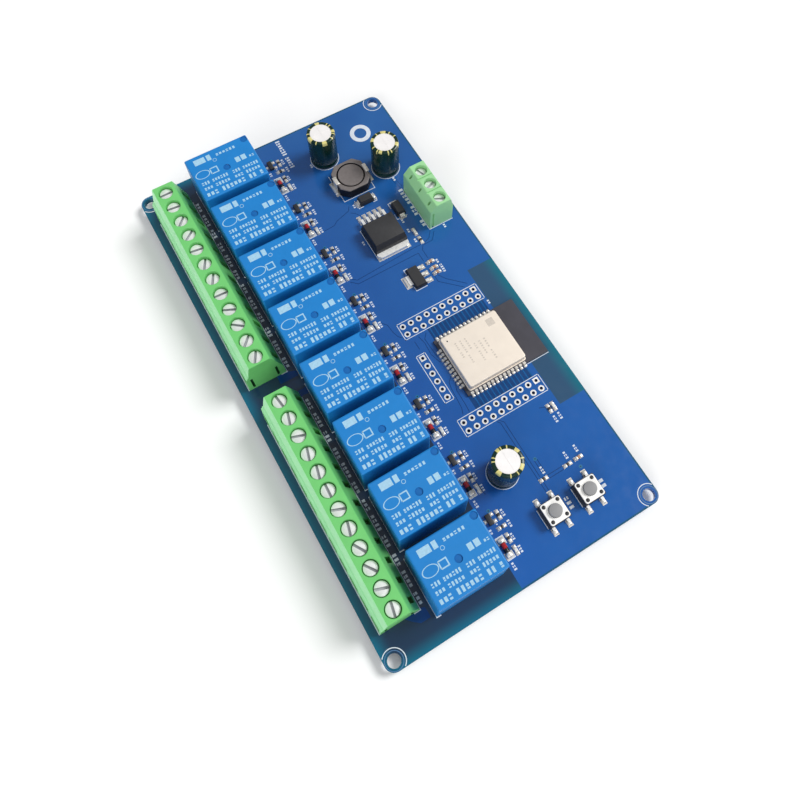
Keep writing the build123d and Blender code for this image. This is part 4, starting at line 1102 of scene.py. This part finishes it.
def joint_form(radius):
    """A solder cone round a trimmed lead under the board, open where the lead passes."""
    bm = turned(((radius, 1.62), (radius, 1.52), (radius * 0.72, 1.2), (radius * 0.5, 0.75),
                 (radius * 0.42, 0.25), (radius * 0.3, 0.12), (0, 0.1)), 16)
    bmesh.ops.holes_fill(bm, edges=[edge for edge in bm.edges if edge.is_boundary])
    return keep(bm)


def solder_joints():
    """A joint under the board at every lead that passes through it."""
    bm = bmesh.new()
    large, small = joint_form(1.35), joint_form(0.95)
    for number in (1, 2):
        low, high = span(f"output_terminal_{number}")
        line_y = middle(f"output_screws_{number}").y
        for x in pole_x(low.x, high.x, 12):
            stamp(bm, large, at(x, line_y))
    low, high = span("power_terminal")
    for x in pole_x(low.x, high.x, 3):
        stamp(bm, large, at(x, middle("power_screws").y))
    for place in relay_places:
        stamp(bm, large, at(place.x, relay_high.y - 2.3))
        for side in (-1, 1):
            stamp(bm, small, at(place.x + side * 6.0, relay_high.y - 4.3))
            stamp(bm, large, at(place.x + side * 6.0, relay_low.y + 2.6))
    for number in (1, 2, 3):
        place = middle(f"capacitor_can_{number}")
        for side in (-1, 1):
            stamp(bm, small, at(place.x + side * 1.75, place.y))
    piece("solder_joints", bm, [SOLDER])


pads_and_vias()
solder_joints()


# Copper that shows through the mask
def traces():
    """Pairs of gaps beside traces in the pour, lighter traces on bare laminate, and bare fields."""
    gaps, lines, fields = bmesh.new(), bmesh.new(), bmesh.new()
    for points in GAP_LINES + BUNDLE_LINES:
        line(gaps, points, 0.16, PAD_FOOT, TOP + 0.012)
    for left, right, near, far in BARE_FIELDS:
        slab(fields, rectangle((left + right) / 2, (near + far) / 2, right - left, far - near),
             PAD_FOOT, TOP + 0.008)
    for low_x, high_x in FAN_OUTS:
        for number in range(RADIO_SIDE_PADS):
            y = RADIO_FIRST_PAD + number * RADIO_PITCH
            line(lines, ((low_x, y), (high_x, y)), 0.34, PAD_FOOT, TOP + 0.02)
    piece("trace_gaps", gaps, [GAP_BLUE])
    piece("bare_fields", fields, [FIELD_BLUE])
    piece("bare_traces", lines, [TRACE_BLUE])
    patches = bmesh.new()
    for points in COPPER_PATCHES:
        slab(patches, points, PAD_FOOT, TOP + 0.02)
    piece("copper_patches", patches, [PATCH_BLUE])


GAP_LINES = (
    ((-41.6, 12.6), (-40.2, 11.7), (-38.9, 7.2), (-37.9, 5.7), (-37.7, 2.4)),
    ((-39.3, 11.9), (-38.6, 12.9), (-36.9, 14.0)),
    ((-22.4, 28.9), (-20.6, 27.4), (-19.9, 25.5), (-19.9, 21.4), (-19.0, 3.0), (-20.3, 1.5)),
    ((-21.8, 29.9), (-19.5, 27.9), (-19.4, 24.7), (-18.1, 23.8), (-15.2, 23.8)),
    ((-17.8, 22.2), (-17.8, 2.7), (-19.5, 0.9)),
    ((-17.8, 22.2), (-14.8, 22.2)),
    ((-9.5, 22.5), (-7.2, 22.4), (-1.9, 27.9)),
    ((-9.0, 23.4), (-6.7, 24.9), (-2.5, 29.2)),
    ((-44.0, 28.1), (-39.4, 28.9)),
    ((-43.6, 28.9), (-40.0, 29.7)),
    ((35.6, 14.4), (36.4, 15.0), (57.4, 15.1)),
    ((35.4, 14.9), (36.7, 16.0), (53.4, 15.9)),
    ((55.1, 15.9), (57.4, 15.9)),
    ((48.9, 17.8), (53.2, 17.8)),
    ((49.2, 17.0), (53.2, 17.0)),
    ((54.0, 17.4), (54.0, 22.7)),
    ((54.9, 17.4), (54.9, 22.7)),
    ((-4.4, 2.0), (-2.7, 3.4), (0.1, 3.7), (1.7, 4.2), (2.5, 4.9)),
    ((38.2, 26.0), (39.2, 28.6)),
    ((46.0, 1.2), (50.0, 1.6)),
)
BUNDLE_LINES = (
    ((5.27, 7.32), (7.9, 7.38)),
    ((4.5, 8.99), (7.0, 9.53), (10.75, 9.29), (13.87, 10.23), (13.9, 11.5)),
    ((4.59, 11.38), (6.03, 10.11), (9.16, 10.25), (12.26, 10.4), (12.6, 11.5)),
    ((17.75, 11.5), (18.55, 10.98), (20.04, 9.26), (21.91, 8.9), (27.78, 8.44), (29.43, 7.8)),
    ((20.3, 11.5), (20.91, 10.72), (22.9, 9.88), (28.17, 9.78), (29.69, 9.61)),
)
BARE_FIELDS = ((3.75, 8.02, 12.2, 30.2), (26.2, 30.15, 11.5, 29.6))
FAN_OUTS = ((3.75, 8.0), (26.2, 30.15))
COPPER_PATCHES = (
    ((63.5, -28.5), (64.2, -31.0), (66.2, -29.2), (67.5, -27.6), (67.5, -24.9), (64.9, -25.0)),
    ((-4.6, -29.2), (-2.2, -29.3), (-2.1, -26.9), (-2.1, -24.1), (-3.6, -24.1), (-4.6, -26.6)),
    ((1.8, -26.9), (3.6, -26.2), (3.6, -23.2), (1.8, -23.2)),
)
traces()


# Print
GLYPHS = (
    ((0.0, 0.5, 0.72, 0.9),),
    ((0.0, 0.22, 0.8, 0.3), (0.0, 0.76, 0.8, 0.3)),
    ((0.0, 0.5, 0.8, 0.7),),
    ((0.0, 0.18, 0.76, 0.26), (0.0, 0.64, 0.76, 0.44)),
)


def print_words(bm, start, end, height, words, bottom, top, seed=0):
    """A row of plain blocks the size of small print, in words of given lengths, about a line."""
    first, last = Vector(start), Vector(end)
    run = last - first
    total = sum(words) + 0.8 * (len(words) - 1)
    cell = run.length / total
    along = run.normalized()
    turn = math.degrees(math.atan2(along.y, along.x))
    up = Vector((-along.y, along.x))
    reach = 0.0
    count = seed
    for word in words:
        for _ in range(word):
            for across, lift, width, tall in GLYPHS[(count * 7 + count // 3) % len(GLYPHS)]:
                spot = first + along * ((reach + 0.5 + across * 0.8) * cell) + up * ((lift - 0.5) * height)
                slab(bm, rectangle(spot.x, spot.y, width * cell * 0.8, tall * height, turn), bottom, top)
            reach += 1
            count += 1
        reach += 0.8


def shield_print():
    """Faint plain marks on the radio's shield."""
    low, high = span("radio_shield")
    bm = bmesh.new()
    bottom, top = high.z - 0.01, high.z + 0.008
    for row, (start, length, words) in enumerate(SHIELD_ROWS):
        y = low.y + 3.0 + row * 1.5
        print_words(bm, (low.x + start, y), (low.x + start + length, y), 0.6, words, bottom, top, row)
    slab(bm, rectangle(low.x + 2.6, high.y - 3.0, 2.2, 2.2), bottom, top)
    piece("shield_marks", bm, [SHIELD_PRINT])


SHIELD_ROWS = ((3.0, 5.0, (4, 3)), (3.0, 7.5, (6, 4)), (3.0, 3.8, (5,)), (5.5, 6.0, (3, 5)), (5.5, 4.5, (6,)),
               (5.5, 7.0, (4, 4)))


def relay_print():
    """Plain print on the relay tops: a block, a ring, a square and rows of small marks."""
    mark = bmesh.new()
    bottom, top = relay_high.z - 0.02, relay_high.z + 0.015
    slab(mark, rectangle(-5.2, -5.6, 1.9, 3.2), bottom, top)
    slab(mark, rectangle(-5.2, -2.9, 1.9, 1.2), bottom, top)
    print_words(mark, (-5.1, -0.9), (-5.1, 5.1), 0.95, (6,), bottom, top, 1)
    ring(mark, -3.7, -1.7, 0.42, 0.55, bottom, top, 20)
    ellipse = bmesh.new()
    ring(ellipse, 0, 0, 1.75, 2.0, 0, top - bottom, 36)
    bmesh.ops.scale(ellipse, vec=(0.68, 1.05, 1.0), verts=ellipse.verts)
    stamp(mark, keep(ellipse), at(-0.8, -6.55, bottom))
    square = ((-1.6, -4.2), (-1.6, -2.2), (0.2, -2.2), (0.2, -4.2))
    for points in (square, (square[-1], square[0])):
        line(mark, points, 0.32, bottom, top)
    for left, right in ((3.2, 4.5), (4.9, 6.3)):
        slab(mark, rectangle(-0.75, (left + right) / 2, 1.7, right - left), bottom, top)
    print_words(mark, (-0.2, 7.0), (-0.2, 8.6), 0.85, (2,), bottom, top, 3)
    rows = ((2.15, -8.2, -0.4, (3, 6)), (2.4, 0.8, 8.5, (3, 6)), (3.95, -8.2, -0.6, (3, 5)),
            (4.15, 0.7, 8.3, (3, 5)))
    for x, near, far, words in rows:
        print_words(mark, (x, near), (x + 0.12, far), 1.15, words, bottom, top, int(x * 2))
    print_words(mark, (6.0, -8.4), (6.1, 8.4), 1.6, (3, 6, 2, 1), bottom, top, 2)
    form = keep(mark)
    bm = bmesh.new()
    for place in relay_places:
        stamp(bm, form, at(place.x, place.y))
    piece("relay_marks", bm, [RELAY_PRINT])


SILK_FOOT = TOP + 0.005
SILK_TOP = TOP + 0.045
SILK_WIDTH = 0.2


def silk_line(bm, *points):
    """A line drawn in silkscreen."""
    line(bm, points, SILK_WIDTH, SILK_FOOT, SILK_TOP)


def box_line(bm, left, right, near, far):
    """A rectangle drawn in silkscreen."""
    corners = ((left, near), (right, near), (right, far), (left, far))
    for start, end in zip(corners, corners[1:] + corners[:1]):
        way = (Vector(end) - Vector(start)).normalized() * SILK_WIDTH / 2
        silk_line(bm, tuple(Vector(start) - way), tuple(Vector(end) + way))


def silk_words(bm, x, y, length, height, words, seed=0):
    """Silkscreen words that start at a place."""
    print_words(bm, (x, y), (x + length, y), height, words, SILK_FOOT, SILK_TOP, seed)


def silkscreen():
    """Outlines, brackets, rings and plain label marks on the board."""
    bm = bmesh.new()
    for first in FIRST_HEADERS:
        box_line(bm, first - 1.3, first + PITCH + 1.25, HEADER_LINE - 1.27, HEADER_LINE + 9.55 * PITCH)
    box_line(bm, SIDE_HEADER - 1.2, SIDE_HEADER + 5 * PITCH + 1.25, HEADER_LINE - 1.4, HEADER_LINE + 1.35)
    for place in relay_places:
        silk_line(bm, (place.x - 7.8, -23.8), (place.x + 7.78, -23.8), (place.x + 7.78, -22.6))
    for number in (1, 2):
        low, high = span(f"output_terminal_{number}")
        silk_line(bm, (low.x + 2.2, low.y - 0.16), (high.x, low.y - 0.16))
        silk_line(bm, (low.x, high.y + 0.15), (high.x + 0.15, high.y + 0.15), (high.x + 0.15, high.y - 1.6))
        for pole, x in enumerate(pole_x(low.x, high.x, OUTPUT_POLES)):
            letters = 4 if pole % 3 == 1 else 3
            length = 1.15 * letters
            silk_words(bm, x - length / 2 + 0.1, high.y + 0.95, length, 1.15, (letters,), seed=pole + number)
    low, high = span("power_terminal")
    silk_line(bm, (high.x + 0.2, low.y - 0.2), (high.x + 0.2, high.y + 0.1))
    silk_line(bm, (low.x, low.y - 0.2), (high.x + 0.2, low.y - 0.2))
    for x, length, letters in ((-39.4, 6.1, 5), (-32.6, 3.8, 3), (-27.1, 2.6, 2)):
        silk_words(bm, x, 28.5, length, 1.5, (letters,), seed=letters)
    for number in (1, 2, 3):
        place = middle(f"capacitor_can_{number}")
        ring(bm, place.x, place.y, 4.15, 4.35, SILK_FOOT, SILK_TOP, 64)
    for x in channels:
        foot, bend = DRIVER_LINE + 2.4, DRIVER_LINE + 4.55
        silk_line(bm, (x - 0.17, foot), (x - 0.15, bend), (x + 2.0, bend))
        silk_line(bm, (x + 3.9, bend), (x + 5.75, DRIVER_LINE + 4.6), (x + 5.8, foot))
        for dx, dy, length, letters in CHANNEL_LABELS:
            silk_words(bm, x + dx, DRIVER_LINE + dy, length, LABEL_HEIGHT, (letters,), seed=int(dx + 9))
        ring(bm, x - 3.0, DRIVER_LINE + 4.85, 0.02, 0.2, SILK_FOOT, SILK_TOP, 16)
    silk_words(bm, -73.1, 4.6, 11.2, 1.5, (7, 5))
    for x, y, letters in LABELS:
        silk_words(bm, x, y, 0.75 * letters, LABEL_HEIGHT, (letters,), letters)
    silk_words(bm, 60.65, 18.5, 3.7, 1.35, (3,), seed=4)
    silk_words(bm, 61.4, 28.65, 2.8, 1.35, (2,), seed=5)
    for x, y in ((62.53, 13.56), (62.53, 24.02)):
        silk_line(bm, (x - 2.6, y - 3.2), (x + 2.7, y - 3.2))
    for points in SILK_LINES:
        silk_line(bm, *points)
    rims = bmesh.new()
    for sx in (-1, 1):
        for sy in (-1, 1):
            x, y = sx * CORNER_HOLE_X, sy * (board_high.y - CORNER_HOLE_INSET)
            centre_angle = math.degrees(math.atan2(-sy, -sx))
            ring(rims, x, y, 2.15, 2.35, SILK_FOOT, SILK_TOP, 64)
            ring(bm, x, y, 2.72, 2.94, SILK_FOOT, SILK_TOP, 64, centre_angle - 98, 196)
    piece("silkscreen", bm, [SILK])
    piece("hole_rims", rims, [RIM_BLUE])
    plate = bmesh.new()
    ring(plate, -63.0, 28.2, 1.9, 3.2, SILK_FOOT, SILK_TOP, 64)
    piece("maker_place", plate, [SILK])


CORNER_HOLE_X = 71.25
CORNER_HOLE_INSET = 2.5
LABEL_HEIGHT = 0.85
CHANNEL_LABELS = ((-5.75, 7.63, 2.1, 3), (-2.7, 7.7, 2.15, 3), (0.4, 6.55, 2.0, 3), (3.8, 6.65, 2.1, 3),
                  (6.4, 3.0, 2.2, 3), (-2.9, 2.5, 1.5, 2))
LABELS = ((-26.4, 23.5, 2), (-22.6, 23.65, 2), (-22.6, 33.5, 2), (-44.0, 28.8, 2), (-60.4, 9.6, 2),
          (-30.0, 23.7, 2), (-13.7, 25.6, 2), (-11.8, 25.8, 4), (-29.2, 10.2, 2), (4.6, 31.3, 2),
          (51.1, 17.35, 3), (51.0, 24.7, 3), (50.8, 28.0, 3), (41.5, 29.6, 3), (41.7, 28.05, 3),
          (-41.5, 13.9, 2))
SILK_LINES = (
    ((-53.95, 22.35), (-53.95, 23.2)),
    ((-53.6, 12.2), (-43.5, 12.2), (-43.5, 22.4), (-46.0, 22.4)),
    ((-42.3, 14.8), (-39.3, 14.8), (-39.3, 16.3)),
    ((-42.3, 20.8), (-39.3, 20.8), (-39.3, 19.6)),
    ((-36.4, 24.3), (-36.4, 22.8), (-34.5, 22.8)),
    ((-32.4, 22.7), (-30.5, 22.7), (-30.5, 26.0)),
    ((-32.4, 13.2), (-32.4, 11.3), (-22.4, 11.3)),
    ((-15.0, 17.0), (-15.0, 15.7), (-13.4, 15.7)),
    ((-9.0, 15.7), (-7.6, 15.7), (-7.6, 19.2)),
    ((26.35, 29.9), (26.35, 37.2)),
)
shield_print()
relay_print()
silkscreen()

# CAD nodes that stay, with their finishes
dress("circuit_board", MASK)
for node in ("output_cages", "power_cages"):
    dress(node, CAGE_STEEL)
for node in ("relay_pins", "output_pins", "power_pins", "capacitor_leads", "regulator_tab",
             "regulator_leads", "small_regulator_leads", "power_diode_leads", "transistor_leads",
             "button_1_legs", "button_2_legs", "button_1_dome", "button_2_dome"):
    dress(node, TIN)


# Camera, floor and light
def make_camera():
    """The camera, which the photograph's own view gives."""
    data = bpy.data.cameras.new("camera")
    data.lens = CAMERA_LENS
    data.sensor_width = 36.0
    data.shift_x, data.shift_y = CAMERA_SHIFT
    data.clip_start = 0.005
    data.clip_end = 20.0
    camera = bpy.data.objects.new("camera", data)
    camera.location = [part * MM for part in CAMERA_PLACE]
    camera.rotation_euler = [math.radians(part) for part in CAMERA_TURN]
    bpy.context.scene.collection.objects.link(camera)
    bpy.context.scene.camera = camera


def make_floor():
    """A plain pale floor under the board."""
    bm = bmesh.new()
    bmesh.ops.create_grid(bm, x_segments=4, y_segments=4, size=4.0)
    mesh = keep(bm)
    floor = bpy.data.objects.new("floor", mesh)
    bpy.context.scene.collection.objects.link(floor)
    white = coat("floor_white", (0.97, 0.97, 0.97, 1.0), rough=0.9, mottle=0.005, patch=60.0, grain=3.0,
                 gloss=0.0)
    mesh.materials.append(white)


def make_lamp(name, strength, place, angle):
    """A distant lamp that looks at the origin, with shadows as soft as its angle."""
    data = bpy.data.lights.new(name, "SUN")
    data.energy = strength
    data.angle = math.radians(angle)
    lamp = bpy.data.objects.new(name, data)
    lamp.location = place
    lamp.rotation_euler = (-Vector(place)).to_track_quat("-Z", "Y").to_euler()
    bpy.context.scene.collection.objects.link(lamp)


def make_world():
    """An even white surround."""
    world = bpy.data.worlds.new("surround")
    world.use_nodes = True
    bpy.context.scene.world = world
    background = world.node_tree.nodes["Background"]
    background.inputs["Color"].default_value = (1.0, 1.0, 1.0, 1.0)
    background.inputs["Strength"].default_value = 0.38


make_camera()
make_floor()
make_lamp("key", 2.15, (0.1, 0.85, 1.0), 24.0)
make_lamp("top", 0.2, (0.45, -0.05, 1.0), 20.0)
make_lamp("side", 1.1, (0.75, -0.85, 0.5), 40.0)
make_world()
bpy.context.scene.view_settings.view_transform = "Standard"
